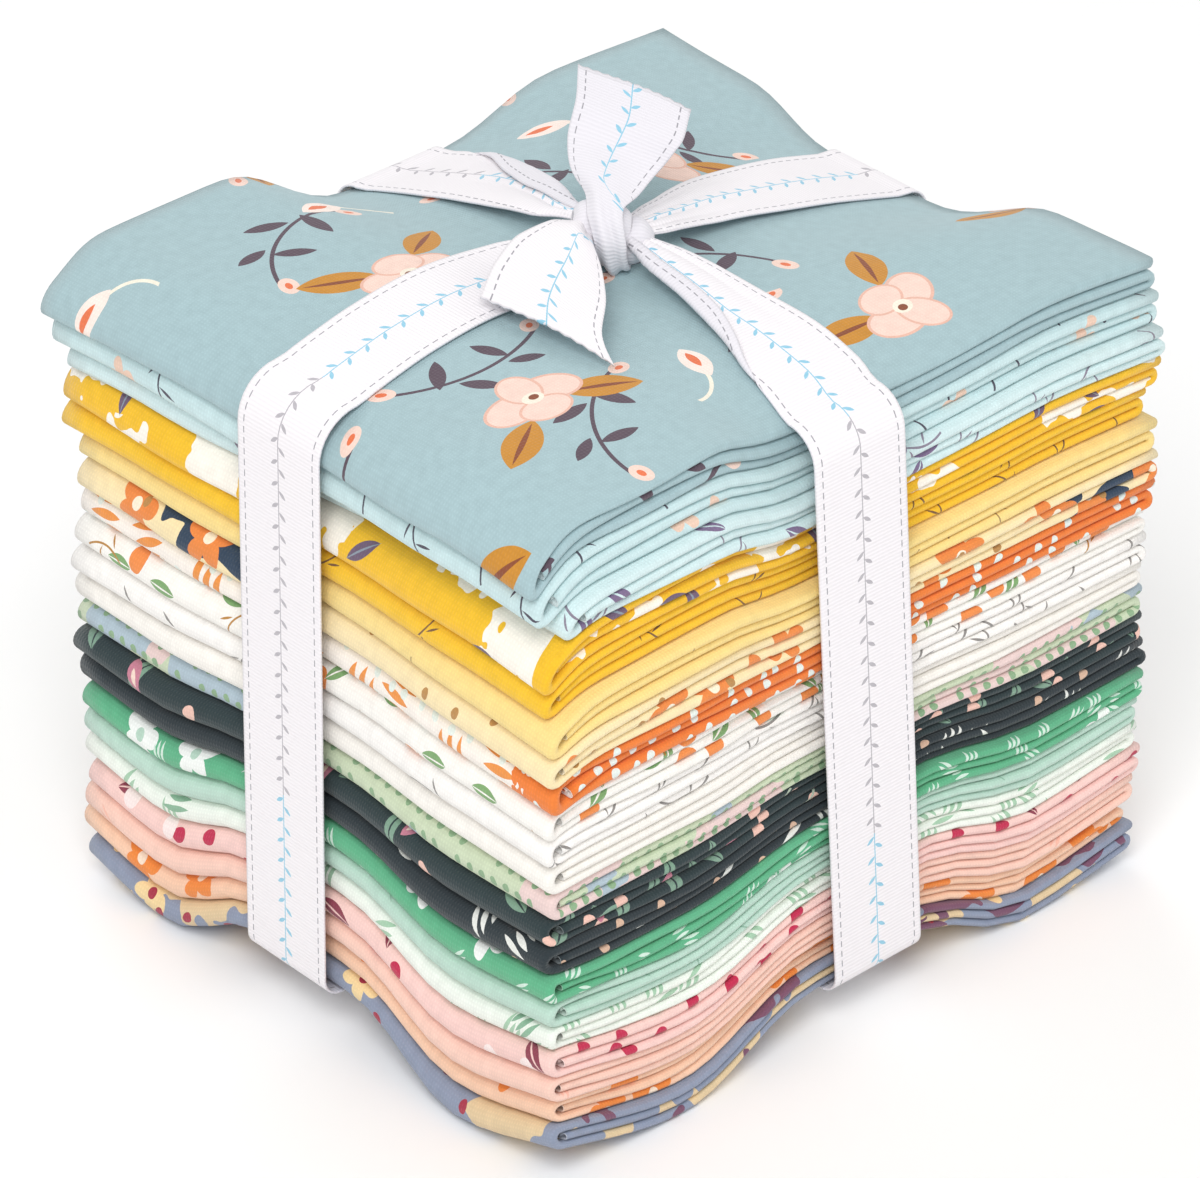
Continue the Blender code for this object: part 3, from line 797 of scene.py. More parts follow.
class Rows(NamedTuple):
    """The mesh's rows across the cloth's long side, with one number for each row in each field.

    Places run from -1, near, to 1, far, and depths from 0, outside the layer, to 1, inside. A turn reaches
    out beyond its end, and each end of a panel has its inset.
    """
    place: Array
    depth: Array
    out: Array
    near_inset: Array
    far_inset: Array


class Column(NamedTuple):
    """One column along the short side: in a flat layer, or round a fold that points to -X (-1) or +X (1)."""
    x: Array
    layer: int = 0
    side: int = 0
    angle: float = 0.0


@dataclass(frozen=True)
class Detail:
    """How finely a folded cloth is meshed."""
    flat_steps: int = 26
    small_fold_steps: int = 6
    big_fold_steps: int = 10
    panel_steps: int = 20
    turn_steps: int = 6
    # How much closer the columns stand towards the round folds at -X
    crowding: float = 0.62

    def shares(self) -> Array:
        """Places along a flat layer from its left end to its right one, from 0 to 1."""
        even = np.linspace(0, 1, self.flat_steps + 1)
        return even * (1 - self.crowding) + self.crowding * even ** 2.2


@dataclass
class FoldedCloth:
    """One fat quarter, folded in four across its long side and in three across its short side."""
    row: ClothRow
    shift: Array
    detail: Detail
    # How far a fold's and a turn's nose reach, against half their height
    fold_reach: float = 1.12
    turn_reach: float = 1.25
    mean_pitch: float = 1.95
    # A fold's height is read this far inside its nose
    left_probe: float = 3.0
    right_probe: float = 2.0
    right_inset: float = 0.3
    far_inset: float = 0.4
    # The tucked end stands off the big fold, and the inner panels of the free end stand back
    tuck_inset: float = 0.7
    free_inset: float = 0.2
    panel_step: float = 1.1
    # How much of a free end's reach the ribbon holds back
    edge_held: float = 0.55
    tuck_ripple: float = 0.5
    free_ripple: float = 0.4
    end_ripple: float = 0.45
    edge_ripple: float = 0.3
    # How far the ends' unevenness moves on from one panel or column to the next
    ripple_panel: float = 31
    ripple_column: float = 5.0

    def __post_init__(self) -> None:
        """Find the cloth's place in the stack."""
        self.number = self.row.number - 1
        self.first = self.number * LAYERS
        self.face = STACK.top if self.number >= LOWER_CLOTHS else STACK.under

    def ripple(self, seed: Seed, amplitude: float, place: Union[Array, float]) -> Array:
        """Unevenness of one of the cloth's own lines."""
        return Ripple(seed + self.number, amplitude).at(place)

    def rows(self) -> Rows:
        """Lay out the rows of the mesh across the cloth's long side.

        Returns:
            The rows, panel after panel with the turns between them.
        """
        rows = []
        turns = self.detail.turn_steps
        for number, panel in enumerate(PANELS):
            places = np.linspace(-1, 1, round(self.detail.panel_steps * panel.steps) + 1)
            for place in places if panel.towards_far else places[::-1]:
                rows.append((place, panel.depth, 0.0, panel.near_inset, panel.far_inset))
            if number + 1 == len(PANELS):
                break
            following = PANELS[number + 1]
            end = 1.0 if panel.towards_far else -1.0
            middle, half = (panel.depth + following.depth) / 2, (panel.depth - following.depth) / 2
            for step in range(1, turns):
                angle = math.pi * step / turns
                out = end * math.sin(angle) * abs(half) * self.mean_pitch * self.turn_reach
                rows.append((end, middle + half * math.cos(angle), out, panel.near_inset, panel.far_inset))
        return Rows(*(np.array(field) for field in zip(*rows)))

    def edges(self, y: Array) -> tuple:
        """Find how far the folds reach at -X and +X.

        Args:
            y: Places along Y.

        Returns:
            The X of the left folds and of the right ones.
        """
        share = np.clip(y / HALF_LENGTH, -1, 1) / 2 + 0.5
        pull = self.face.pull_at_folds(y)
        left = -HALF_DEPTH - self.row.left_near * (1 - share) - self.row.left_far * share
        left = left + RIBBON_PRESS * pull + self.ripple(Seed.LEFT_FOLDS, self.edge_ripple, y)
        out = self.row.right * (1 - self.edge_held * pull) - RIBBON_PRESS * pull - self.right_inset
        right = HALF_DEPTH + out + self.ripple(Seed.RIGHT_FOLDS, self.edge_ripple, y)
        return left, right

    def half_rise(self, layers: int, x: Array, y: Array) -> Array:
        """Half the height of the cloth's lowest layers."""
        return (STACK.level(self.first + layers, x, y) - STACK.level(self.first, x, y)) / 2

    @staticmethod
    def bend(x: Array, side: int, steps: int) -> list:
        """The columns round a fold."""
        return [Column(x, side=side, angle=math.pi * step / steps) for step in range(1, steps)]

    def grid(self) -> Array:
        """Work out the points in the middle of the folded sheet.

        Returns:
            Points in millimetres, columns along the short side by rows along the long side.
        """
        rows, detail = self.rows(), self.detail
        y = rows.place * HALF_LENGTH
        left, right = self.edges(y)
        # The middles of the big fold and of the small one, where the flat layers end
        low = left + self.half_rise(3, left + self.left_probe, y) * self.fold_reach
        base = right - self.half_rise(2, right - self.right_probe, y) * self.fold_reach
        shares = detail.shares()
        tuck = low + self.tuck_inset + self.ripple(Seed.TUCKED_END, self.tuck_ripple, y)
        end = (right - self.free_inset - self.panel_step * rows.depth
               + self.ripple(Seed.FREE_END, self.free_ripple, y + self.ripple_panel * rows.depth))
        columns = [Column(tuck + (base - tuck) * t, 1) for t in shares]
        columns += self.bend(base, 1, detail.small_fold_steps)
        columns += [Column(low + (base - low) * t, 0) for t in shares[::-1]]
        columns += self.bend(low, -1, detail.big_fold_steps)
        columns += [Column(low + (end - low) * t, 2) for t in shares]
        return np.stack([self.points(number, column, rows) for number, column in enumerate(columns)])

    def points(self, number: int, column: Column, rows: Rows) -> Array:
        """Work out one column of points.

        Args:
            number: The column's number, which moves the ends' unevenness along.
            column: The column.
            rows: The mesh's rows.

        Returns:
            The points in millimetres.
        """
        x, layer, side, angle = column
        if side:
            low, high = self.arms(side, x, rows.place * HALF_LENGTH, rows.depth)
            half = (high - low) / 2
            x = x + side * half * self.fold_reach * math.sin(angle)
            y = self.ends(number, x, rows)
            low, high = self.arms(side, x, y, rows.depth)
            return np.stack([x, y, (low + high) / 2 + half * (math.cos(angle) * side)], axis=1)
        y = self.ends(number, x, rows)
        floor, ceiling = (STACK.level(self.first + layer + up, x, y) for up in (0, 1))
        depth = (ceiling - floor) * rows.depth
        return np.stack([x, y, ceiling - depth if layer else floor + depth], axis=1)

    def arms(self, side: int, x: Array, y: Array, depth: Array) -> tuple:
        """Find the heights of a fold's two arms at a depth within their layers.

        Args:
            side: 1 for the small fold over two layers at +X, -1 for the big one over three at -X.
            x: Places along X.
            y: Places along Y.
            depth: Depth within the layer.

        Returns:
            The lower arm's heights and the upper arm's.
        """
        upper = self.first + (2 if side > 0 else 3)
        bottom, above_bottom, under_top, top = (
            STACK.level(number, x, y) for number in (self.first, self.first + 1, upper - 1, upper))
        return bottom + (above_bottom - bottom) * depth, top - (top - under_top) * depth

    def ends(self, number: int, x: Array, rows: Rows) -> Array:
        """Place the rows along Y between the cloth's uneven ends.

        Args:
            number: The column's number.
            x: Places along X.
            rows: The mesh's rows.

        Returns:
            The places along Y.
        """
        press = RIBBON_PRESS * self.face.pull_at_ends(x, rows.place * HALF_LENGTH)
        along = number * self.ripple_column
        nose = (PANELS[1].depth - PANELS[0].depth) / 2 * self.mean_pitch * self.turn_reach
        near_ripple = self.ripple(Seed.NEAR_ENDS, self.end_ripple, along)
        far_ripple = self.ripple(Seed.FAR_ENDS, self.end_ripple, along)
        near = -HALF_LENGTH + press + nose + rows.near_inset + near_ripple
        far = HALF_LENGTH - press - rows.far_inset - self.far_inset + far_ripple
        return self.row.shift + near + (far - near) * (rows.place + 1) / 2 + rows.out

    def build(self) -> bpy.types.Object:
        """Make the folded cloth and say what it is.

        Returns:
            The finished piece.
        """
        grid = self.grid()[:, ::-1]
        materials = QuiltingCotton(self.row).materials()
        uv = self.flat_places(grid)
        piece = close_sheet(f"{self.row.node}_cotton", grid, COTTON, uv, self.shift, materials)
        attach(piece, BODY)
        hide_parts(self.row.node)
        LOG.info("%s: %d faces", piece.name, len(piece.data.polygons))
        return piece

    @staticmethod
    def flat_places(grid: Array) -> Array:
        """Find where each point lay on the flat cloth.

        Args:
            grid: Points of the folded sheet.

        Returns:
            Places in metres along the short and the long side of the cut.
        """
        along, across = distances(grid[:, 3]), distances(grid[len(grid) * 4 // 5])
        along *= CUT_SHORT / along[-1] * MM
        across *= CUT_LONG / across[-1] * MM
        return np.stack(np.meshgrid(along, across, indexing="ij"), axis=2)


class ArmRow(NamedTuple):
    """One row across an arm of the ribbon on the top, at a distance from the bundle's middle."""
    distance: float
    low_edge: float
    high_edge: float
    folded: float
    lift: float


class Arm(NamedTuple):
    """One arm of the ribbon: which edge is folded over it, its creases towards the knot, and its rows.

    A row has its distance from the bundle's middle, its low edge, its high edge, the width folded over and
    the lift over the cloth. Edges lie along the other axis.
    """
    fold_at_high_edge: bool
    creases: float
    phase: float
    rows: tuple


@dataclass(frozen=True)
class Band:
    """One turn of the ribbon. A pair has one value for the low side of its run and one for the high side.

    The edges are where it stands along its run, the lines where its middle lies across it on the top and
    underneath, and the corners the radii of its bends at the top.
    """
    runs_along_x: bool
    edges: tuple
    top_lines: tuple
    under_lines: tuple
    corners: tuple
    dip: float
    arms: tuple

    def xy(self, run: Array, cross: Array) -> tuple:
        """Turn places along and across the turn into X and Y."""
        return (run, cross) if self.runs_along_x else (cross, run)


BANDS = (
    Band(True, (-76.1, 77.1), (2.85, 5.0), (5.2, 5.0), (9.0, 5.0), 0.0, (
        Arm(False, 2.0, 0.3, (
            (5.0, -3.0, 3.5, 0.0, 3.0), (9.0, -4.5, 9.5, 0.0, 2.6), (14.0, -5.5, 14.0, 0.0, 1.8),
            (24.0, -6.3, 15.9, 0.0, 0.7), (36.0, -6.4, 15.8, 0.0, 0.2), (48.0, -6.8, 15.4, 0.0, 0.0),
            (61.0, -7.9, 14.3, 0.0, 0.0))),
        Arm(False, 2.4, 0.9, (
            (5.0, -6.0, 0.6, 0.0, 4.6), (10.0, -7.2, 2.6, 0.0, 4.2), (17.0, -7.0, 5.4, 0.0, 2.8),
            (22.0, -6.8, 7.8, 0.0, 1.9), (34.0, -6.2, 11.9, 0.0, 0.9), (49.0, -6.2, 14.6, 0.0, 0.3),
            (62.0, -6.1, 16.1, 0.0, 0.0))))),
    Band(False, (-68.4, 69.4), (-1.8, 5.2), (6.3, 5.5), (7.0, 6.0), 1.3, (
        Arm(False, 1.5, 0.15, (
            (5.0, -0.8, 3.6, 1.6, 4.4), (9.0, -1.2, 5.6, 2.4, 3.6), (13.0, -2.0, 7.8, 3.1, 2.8),
            (20.0, -2.7, 9.3, 3.8, 1.8), (30.0, -4.8, 9.8, 4.2, 1.0), (38.0, -6.8, 10.4, 2.9, 0.5),
            (47.0, -9.8, 10.9, 1.0, 0.2), (54.0, -11.1, 11.0, 0.0, 0.0))),
        Arm(True, 1.5, 0.7, (
            (6.0, -1.0, 1.6, 1.3, 4.4), (10.5, -1.8, 2.6, 2.4, 3.8), (16.0, -3.9, 5.4, 4.0, 3.0),
            (22.0, -4.1, 8.2, 5.2, 2.2), (28.0, -4.2, 10.5, 6.0, 1.4), (37.0, -4.2, 13.3, 5.2, 0.7),
            (48.0, -4.9, 15.6, 2.0, 0.2), (58.0, -5.0, 17.0, 0.0, 0.0))))),
)

# The two edges of each row across a free end, with the height over the cloth at the knot
TAILS = {
    "ribbon_tail_back": (
        ((0.4, 0.4, 0.8), (3.6, -2.4, 0.8)), ((-3.0, -2.6, 1.0), (0.7, -5.7, 0.9)),
        ((-5.3, -4.0, 2.9), (-1.4, -7.6, 2.5)), ((-6.1, -3.6, 7.0), (-2.3, -7.9, 6.0)),
        ((-4.9, -0.6, 10.8), (-2.0, -7.0, 9.6)), ((-1.0, 4.6, 12.6), (-0.2, -4.9, 12.2)),
        ((1.2, 10.6, 13.6), (4.3, -3.7, 13.2)), ((6.2, 17.1, 15.2), (12.1, -1.4, 14.8)),
        ((12.7, 22.2, 18.5), (16.3, -2.2, 18.0)), ((21.1, 30.8, 20.5), (23.7, 2.7, 20.5))),
    "ribbon_tail_front": (
        ((-1.5, 3.5, 5.5), (-2.0, -0.5, 4.5)), ((-4.2, 4.2, 7.8), (-5.2, -1.6, 6.4)),
        ((-8.5, 5.5, 8.5), (-10.6, -10.0, 7.5)), ((-15.7, 5.7, 8.3), (-19.0, -20.7, 7.3)),
        ((-23.9, 3.0, 7.8), (-27.1, -28.8, 6.0)), ((-33.6, -3.3, 6.8), (-29.7, -34.5, 4.2))),
}


class Roll(NamedTuple):
    """One roll of the knot, wound round the line that runs level across it from left to right."""
    name: str
    middle: float
    half_width: float
    radius: float
    height: float
    towards_viewer: float
    shoulder: float
    crease: float


KNOT_CENTRE = (0.5, -1.0, 5.8)
# The level line points between +X and -Y
KNOT_TURN = math.radians(-42.5)
ROLLS = (Roll("ribbon_knot_wrap", -0.5, 3.6, 5.3, 0.0, 0.2, 0.4, 0.12),
         Roll("ribbon_knot_left", -4.2, 3.0, 4.4, 1.0, -1.2, 0.5, 0.12),
         Roll("ribbon_knot_right", 3.4, 3.8, 4.0, -1.4, 0.9, 0.75, 0.14))


def table_to_frame() -> Array:
    """Find how far the table's middle lies from the frame's origin, from the ribbon's node.

    Returns:
        The shift in millimetres, along X, Y and Z.
    """
    low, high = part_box("ribbon")
    x_middle, y_middle = (sum(band.edges) / 2 for band in BANDS)
    return np.array([(low.x + high.x) / 2 / MM - x_middle, (low.y + high.y) / 2 / MM - y_middle, 0.0])


@dataclass(frozen=True)
class TwillRibbon:
    """Woven polyester ribbon with a fine cross rib and a run of stitches along both edges.

    It shows a soft white sheen across the ribs, and the dashes of grey thread stand just off the edge.
    """
    white: str = "F3EFF2"
    # Painted shade: the back is a greyer white than the face, for the strips that fold over and tilt away
    # from the light
    back: str = "E8E5EB"
    thread: str = "A09EA5"
    vine_grey: str = "B9B5BB"
    vine_blue: str = "93CBE2"
    vine_pitch: float = 4.6
    vine_repeats: float = 17.0
    vine_blue_share: float = 0.4
    vine_stem: float = 0.13
    # Ribs are 0.35 mm apart on the real ribbon and are drawn at 0.8 mm so that they show
    rib_pitch: float = 0.8
    rib_wander: float = 0.4
    rib_bump: float = 0.3
    # Painted shade: the valleys between the ribs are painted this much darker than their tops
    rib_painted_shade: float = 0.06
    stitch_inset: float = 1.7
    stitch_width: float = 0.13
    stitch_pitch: float = 2.3
    stitch_share: float = 0.6

    def material(self, side: str, ground: str) -> bpy.types.Material:
        """Make the material of one side of the ribbon.

        Args:
            side: The side's name.
            ground: Its colour.

        Returns:
            The material, which reads millimetres across and along the ribbon from its UV map.
        """
        painter = PrintPainter(f"woven_polyester_ribbon_{side}", ground)
        axes = add_node(painter.tree, "ShaderNodeSeparateXYZ", {0: painter.place})
        from_middle, along = painter.math("SUBTRACT", axes.outputs[0], HALF_RIBBON), axes.outputs[1]
        line = painter.math("COMPARE", painter.math("ABSOLUTE", from_middle),
                            HALF_RIBBON - self.stitch_inset, self.stitch_width)
        stitch = painter.math("LESS_THAN", painter.cycle(along, self.stitch_pitch), self.stitch_share)
        dash = painter.math("MULTIPLY", line, stitch)
        painter.paint(dash, self.thread)
        self.vine(painter, from_middle, along)
        ribs = painter.threads(self.rib_pitch, "Y", self.rib_wander)
        height = painter.math("MULTIPLY_ADD", painter.noise(0.2, 2.0), 2.0, ribs)
        # Painted shade between the ribs, darker in their valleys
        painter.shade(painter.math("MULTIPLY_ADD", ribs, self.rib_painted_shade, 1 - self.rib_painted_shade))
        return painter.finish(painter.math("SUBTRACT", height, dash), self.rib_bump, {
            "Roughness": 0.6, "Sheen Weight": 0.15, "Specular IOR Level": 0.35})

    def vine(self, painter: PrintPainter, from_middle: Socket, along: Socket) -> None:
        """Print a fine chain of small leaves along the middle, in turns of grey and pale blue.

        Args:
            painter: The painter that holds the ribbon's colour.
            from_middle: Millimetres across the ribbon from its middle.
            along: Millimetres along it.
        """
        centred = painter.math("SUBTRACT", painter.cycle(along, self.vine_pitch), 0.5)
        place = painter.math("MULTIPLY", centred, self.vine_pitch)
        local = add_node(painter.tree, "ShaderNodeCombineXYZ", {0: from_middle, 1: place}).outputs[0]
        repeats = painter.math("FLOOR", painter.math("DIVIDE", along, self.vine_pitch))
        turn = painter.cycle(repeats, 2 * self.vine_repeats)
        blue = painter.math("LESS_THAN", turn, self.vine_blue_share)
        shapes = (painter.mask(local, Part(LEAF, (1.0, 0.9), (1.15, 0.4), 38.0)),
                  painter.mask(local, Part(LEAF, (-1.0, -0.9), (1.15, 0.4), 142.0)),
                  painter.math("COMPARE", from_middle, 0.0, self.vine_stem))
        for shape in shapes:
            painter.paint(shape, self.vine_grey)
            painter.paint(painter.math("MULTIPLY", shape, blue), self.vine_blue)


@dataclass
class RibbonTie:
    """The ribbon: one length that goes round the bundle both ways, its knot and its two free ends."""
    shift: Array
    across_steps: int = 44
    run_step: float = 2.0
    clearance: float = 0.45
    corner_steps: int = 8
    wall_steps: int = 16
    under_steps: int = 36
    roll_steps: int = 48
    first_run: float = 2.5
    fold_radius: float = 0.6
    # Height of a gathered arm's bow, and of its creases by their pitch and at most
    gather_bow: float = 0.9
    crease_share: float = 0.32
    crease_height: float = 1.3
    # How the creases drift along the arm, how round their valleys are, and their mean level
    crease_drift: float = 0.01
    crease_round: float = 0.03
    crease_mean: float = 0.6
    # From this lift on an arm hangs free of the cloth's waves, and each point keeps this share of it
    free_lift: float = 1.2
    least_lift: float = 0.35
    # A free end is fully gathered under the first width and lies open from the second one on
    tail_gathered: float = 6.0
    tail_open: float = 15.0
    tail_crease: float = 0.45
    # The stitched edges come out from under the gathers between these widths; before, only this part shows
    stitches_from: float = 8.0
    stitches_to: float = 15.0
    shown_start: float = 0.14
    shown_share: float = 0.2
    # The knot's creases across and round it, its sway, its unevenness and how flat it is pressed
    knot_creases: float = 4.2
    knot_twist: float = 1.8
    knot_sway: float = 0.12
    knot_uneven: float = 0.3
    knot_press: float = 0.97
    pinking_depth: float = 0.2
    pinking_teeth: int = 11
    length: float = 0.0

    def __post_init__(self) -> None:
        """Lay out the places across the ribbon, from -1 to 1."""
        self.across = np.linspace(-1, 1, self.across_steps + 1)

    @staticmethod
    def row(run: float, lines: Array, height: Array) -> Array:
        """Join the run, cross and height of one row of points."""
        return np.stack([np.full(len(lines), run), lines, height], axis=1)

    @staticmethod
    def cover(band: Band, number: int, run: float, lines: Array) -> Array:
        """Height of one of the stack's levels at a row of points."""
        return STACK.level(number, *band.xy(np.full(len(lines), run), lines))

    def arm_row(self, band: Band, end: int, distance: float) -> ArmRow:
        """Read an arm's table at a distance.

        Args:
            band: The turn of the ribbon.
            end: 0 for the low side of its run, 1 for the high side.
            distance: Distance from the bundle's middle.

        Returns:
            The row there, with the flat ribbon at the corner as the table's last row.
        """
        centre = band.top_lines[end]
        corner = abs(band.edges[end]) - band.corners[end]
        rows = band.arms[end].rows + ((corner, centre - HALF_RIBBON, centre + HALF_RIBBON, 0.0, 0.0),)
        knots, *fields = zip(*rows)
        place = np.array([max(distance, knots[0])])
        return ArmRow(distance, *(float(glide_row(place, knots, field)[0]) for field in fields))

    def folded_section(self, row: ArmRow, arm: Arm) -> tuple:
        """Work out a section across an arm: its places and its heights over its lowest layer.

        Args:
            row: The arm's row.
            arm: The arm.

        Returns:
            Places across from the low edge to the high one, and heights.
        """
        share = (self.across + 1) / 2
        if arm.fold_at_high_edge:
            share = 1 - share
        radius = self.fold_radius * min(1.0, row.folded / 2) + 0.01
        half_turn = radius * math.pi / 2
        along = share * RIBBON_WIDTH - row.folded
        angle = np.clip(along / radius, -math.pi / 2, math.pi / 2)
        top = np.maximum(-along - half_turn, 0)
        flat = np.maximum(along - half_turn, 0)
        flat_length = RIBBON_WIDTH - row.folded - half_turn
        flat = flat * (row.high_edge - row.low_edge - radius) / flat_length
        inward = radius * (1 - np.cos(angle)) + top + flat
        height = radius * (1 - np.sin(angle))
        return (row.high_edge - inward if arm.fold_at_high_edge else row.low_edge + inward), height

    def top_row(self, band: Band, end: int, distance: float) -> Array:
        """Lay one row of points across the ribbon on the top of the stack.

        Args:
            band: The turn of the ribbon.
            end: 0 for the low side of its run, 1 for the high side.
            distance: Distance from the bundle's middle.

        Returns:
            Run, cross and height of each point.
        """
        arm = band.arms[end]
        row = self.arm_row(band, end, distance)
        lines, section = self.folded_section(row, arm)
        visible = row.high_edge - row.low_edge
        gathered = np.clip((RIBBON_WIDTH - visible) / RIBBON_WIDTH, 0, 1)
        wave = np.sin(math.pi * arm.creases * self.across + arm.phase + self.crease_drift * distance)
        depth = min(self.crease_height, self.crease_share * (visible / arm.creases))
        crease = depth * gathered * (np.sqrt(np.abs(wave) + self.crease_round) - self.crease_mean)
        run = (2 * end - 1) * distance
        cover = self.cover(band, ALL_LAYERS, run, lines)
        level = float(np.mean(cover)) + row.lift + self.gather_bow * gathered
        free = level + crease + self.gather_bow * gathered * (1 - self.across ** 2)
        soft = min(1.0, row.lift / self.free_lift)
        held = free * soft + (cover + row.lift) * (1 - soft)
        height = np.maximum(cover + row.lift * self.least_lift, held)
        return self.row(run, lines, height + self.clearance + section + np.maximum(crease, 0) * (1 - soft))

    def corner(self, band: Band, end: int, upper: bool) -> Array:
        """Bend the ribbon round an edge of the stack.

        Args:
            band: The turn of the ribbon.
            end: 0 for the low side of its run, 1 for the high side.
            upper: True at the top edge, False at the bottom edge.

        Returns:
            Rows of run, cross and height, from the top or bottom face to the side face.
        """
        side, up, edge = 2 * end - 1, 1 if upper else -1, band.edges[end]
        radius = band.corners[end] if upper else RIBBON_CORNER
        lines = (band.top_lines if upper else band.under_lines)[end] + HALF_RIBBON * self.across
        crown = edge - side * (radius + FOLD_CROWN)
        face = self.cover(band, ALL_LAYERS if upper else 0, crown, lines) + up * self.clearance
        face = face * 0.5 + np.mean(face) * 0.5
        rows = []
        for step in range(self.corner_steps + 1):
            angle = math.pi / 2 * step / self.corner_steps
            run = edge - side * radius * (1 - math.sin(angle))
            rows.append(self.row(run, lines, face - up * (radius * (1 - math.cos(angle)))))
        return np.array(rows)

    def under(self, band: Band) -> Array:
        """Lay out the ribbon under the stack, where one turn dips under the other.

        Args:
            band: The turn of the ribbon.

        Returns:
            Rows of run, cross and height.
        """
        room = RIBBON_CORNER + FOLD_CROWN
        low, high = band.edges[0] + room, band.edges[1] - room
        crossing = sum(BANDS[0].under_lines) / 2
        rows = []
        for run in np.linspace(low, high, self.under_steps):
            share = (run - low) / (high - low)
            lines = band.under_lines[0] + (band.under_lines[1] - band.under_lines[0]) * share
            lines = lines + HALF_RIBBON * self.across
            near = min(1.0, abs(run - crossing) / DIP_REACH)
            dip = band.dip * 0.5 * (1 + math.cos(math.pi * near))
            rows.append(self.row(run, lines, self.cover(band, 0, run, lines) - self.clearance - dip))
        return np.array(rows)

    def turn(self, band: Band) -> Array:
        """Lay out one whole turn, from the knot over the low side and under the stack to the knot.

        Args:
            band: The turn of the ribbon.

        Returns:
            Rows of points in millimetres, along by across.
        """
        halves = []
        for end in (0, 1):
            stop = abs(band.edges[end]) - band.corners[end] - FOLD_CROWN - 1.0
            runs = np.linspace(self.first_run, stop, int(stop / self.run_step) + 1)
            top = np.array([self.top_row(band, end, run) for run in runs])
            upper, lower = self.corner(band, end, True), self.corner(band, end, False)[::-1]
            shares = np.linspace(0, 1, self.wall_steps + 1)[1:-1, None, None]
            wall = upper[-1] + (lower[0] - upper[-1]) * shares
            halves.append(np.concatenate([top, upper, wall, lower]))
        rows = np.concatenate([halves[0], self.under(band), halves[1][::-1]])
        return np.stack([*band.xy(rows[..., 0], rows[..., 1]), rows[..., 2]], axis=2)

    def tail(self, rows: tuple, base: float) -> Array:
        """Lay out a free end of the ribbon, with its end cut in small teeth.

        Args:
            rows: The rows across it.
            base: Height of the cloth under the knot.

        Returns:
            Points in millimetres, along by across.
        """
        knots = tuple(range(len(rows)))
        places = np.linspace(0, len(rows) - 1, 6 * len(rows) + 3)
        left, right = (np.stack([glide_row(places, knots, values) for values in zip(*points)], axis=1)
                       for points in zip(*rows))
        share = ((self.across + 1) / 2)[None, :, None]
        grid = left[:, None] * (1 - share) + right[:, None] * share
        # 1 where the ribbon is still gathered by the knot, 0 where it lies open
        spare = self.tail_open - np.linalg.norm(left - right, axis=1)
        narrow = np.clip(spare / (self.tail_open - self.tail_gathered), 0, 1)[:, None]
        normal = sheet_normals(grid)
        across, place = self.across[None, :], places[:, None]
        creases = np.cos(across * math.pi * 1.7 + 0.6 + place * 0.35) * narrow * self.tail_crease
        bow = (1 - across ** 2) * (0.8 + 0.5 * narrow)
        sway = 0.5 * np.sin(across * 2.2 + place * 1.4) * (1 - narrow)
        outward = 1.0 if normal[-1, self.across_steps // 2, 2] > 0 else -1.0
        grid = grid + normal * outward * (creases + bow + sway)[..., None]
        grid[..., 2] += base
        tooth = np.abs((np.arange(len(self.across)) * self.pinking_teeth / self.across_steps) % 1 - 0.5) * 2
        ahead = grid[-1] - grid[-2]
        ahead /= np.linalg.norm(ahead, axis=1, keepdims=True)
        grid[-1] += ahead * (self.pinking_depth * (2 * tooth - 1))[:, None]
        return grid

    def knot_roll(self, roll: Roll, base: float) -> Array:
        """Lay out one roll of the knot, gathered in creases.

        Args:
            roll: The roll.
            base: Height of the cloth under the knot.

        Returns:
            Points in millimetres, round by across.
        """
        across, (x, y, z) = self.across, KNOT_CENTRE
        cosine, sine = math.cos(KNOT_TURN), math.sin(KNOT_TURN)
        rows = []
        for angle in np.linspace(-0.6 * math.pi, 1.4 * math.pi, self.roll_steps + 1):
            twist = self.knot_twist * math.sin(angle + roll.middle)
            creases = np.cos(across * self.knot_creases + twist) * (1 - across ** 2)
            radius = roll.radius * (1 - roll.shoulder * np.abs(across) ** 3) + roll.crease * creases
            radius = radius + self.knot_uneven * math.sin(2 * angle + roll.middle)
            along = roll.middle + roll.half_width * (across + self.knot_sway * math.sin(angle))
            out = radius * math.cos(angle) + roll.towards_viewer
            height = radius * math.sin(angle) * self.knot_press + roll.height
            rows.append(np.stack([x + along * cosine + out * sine, y + along * sine - out * cosine,
                                  height + z + base], axis=1))
        return np.array(rows)

    def strip(self, name: str, grid: Array, materials: list) -> bpy.types.Object:
        """Make one stretch of the ribbon.

        Where the ribbon is gathered into the knot, its stitched edges and its leaves are folded away inside.

        Args:
            name: The stretch's name.
            grid: Points in millimetres, along by across.
            materials: The ribbon's face and its back, whose greyer white is painted shade.

        Returns:
            The stretch as an object.
        """
        along = distances(grid[:, grid.shape[1] // 2])
        width = np.linalg.norm(np.diff(grid, axis=1), axis=2).sum(axis=1)
        opened = np.clip((width - self.stitches_from) / (self.stitches_to - self.stitches_from), 0, 1)
        spread = opened if "tail" in name else np.ones(len(grid))
        spread = (0.0 if "knot" in name else 1.0) * spread * spread * (3 - 2 * spread)
        share = np.linspace(0, 1, grid.shape[1])[None, :]
        gathered = self.shown_start + self.shown_share * share
        across = gathered * (1 - spread[:, None]) + share * spread[:, None]
        uv = np.stack([across * RIBBON_WIDTH, np.broadcast_to(along[:, None], across.shape)], axis=2) * MM
        self.length += along[-1] * MM
        return close_sheet(name, grid, RIBBON_THICKNESS, uv, self.shift, materials)

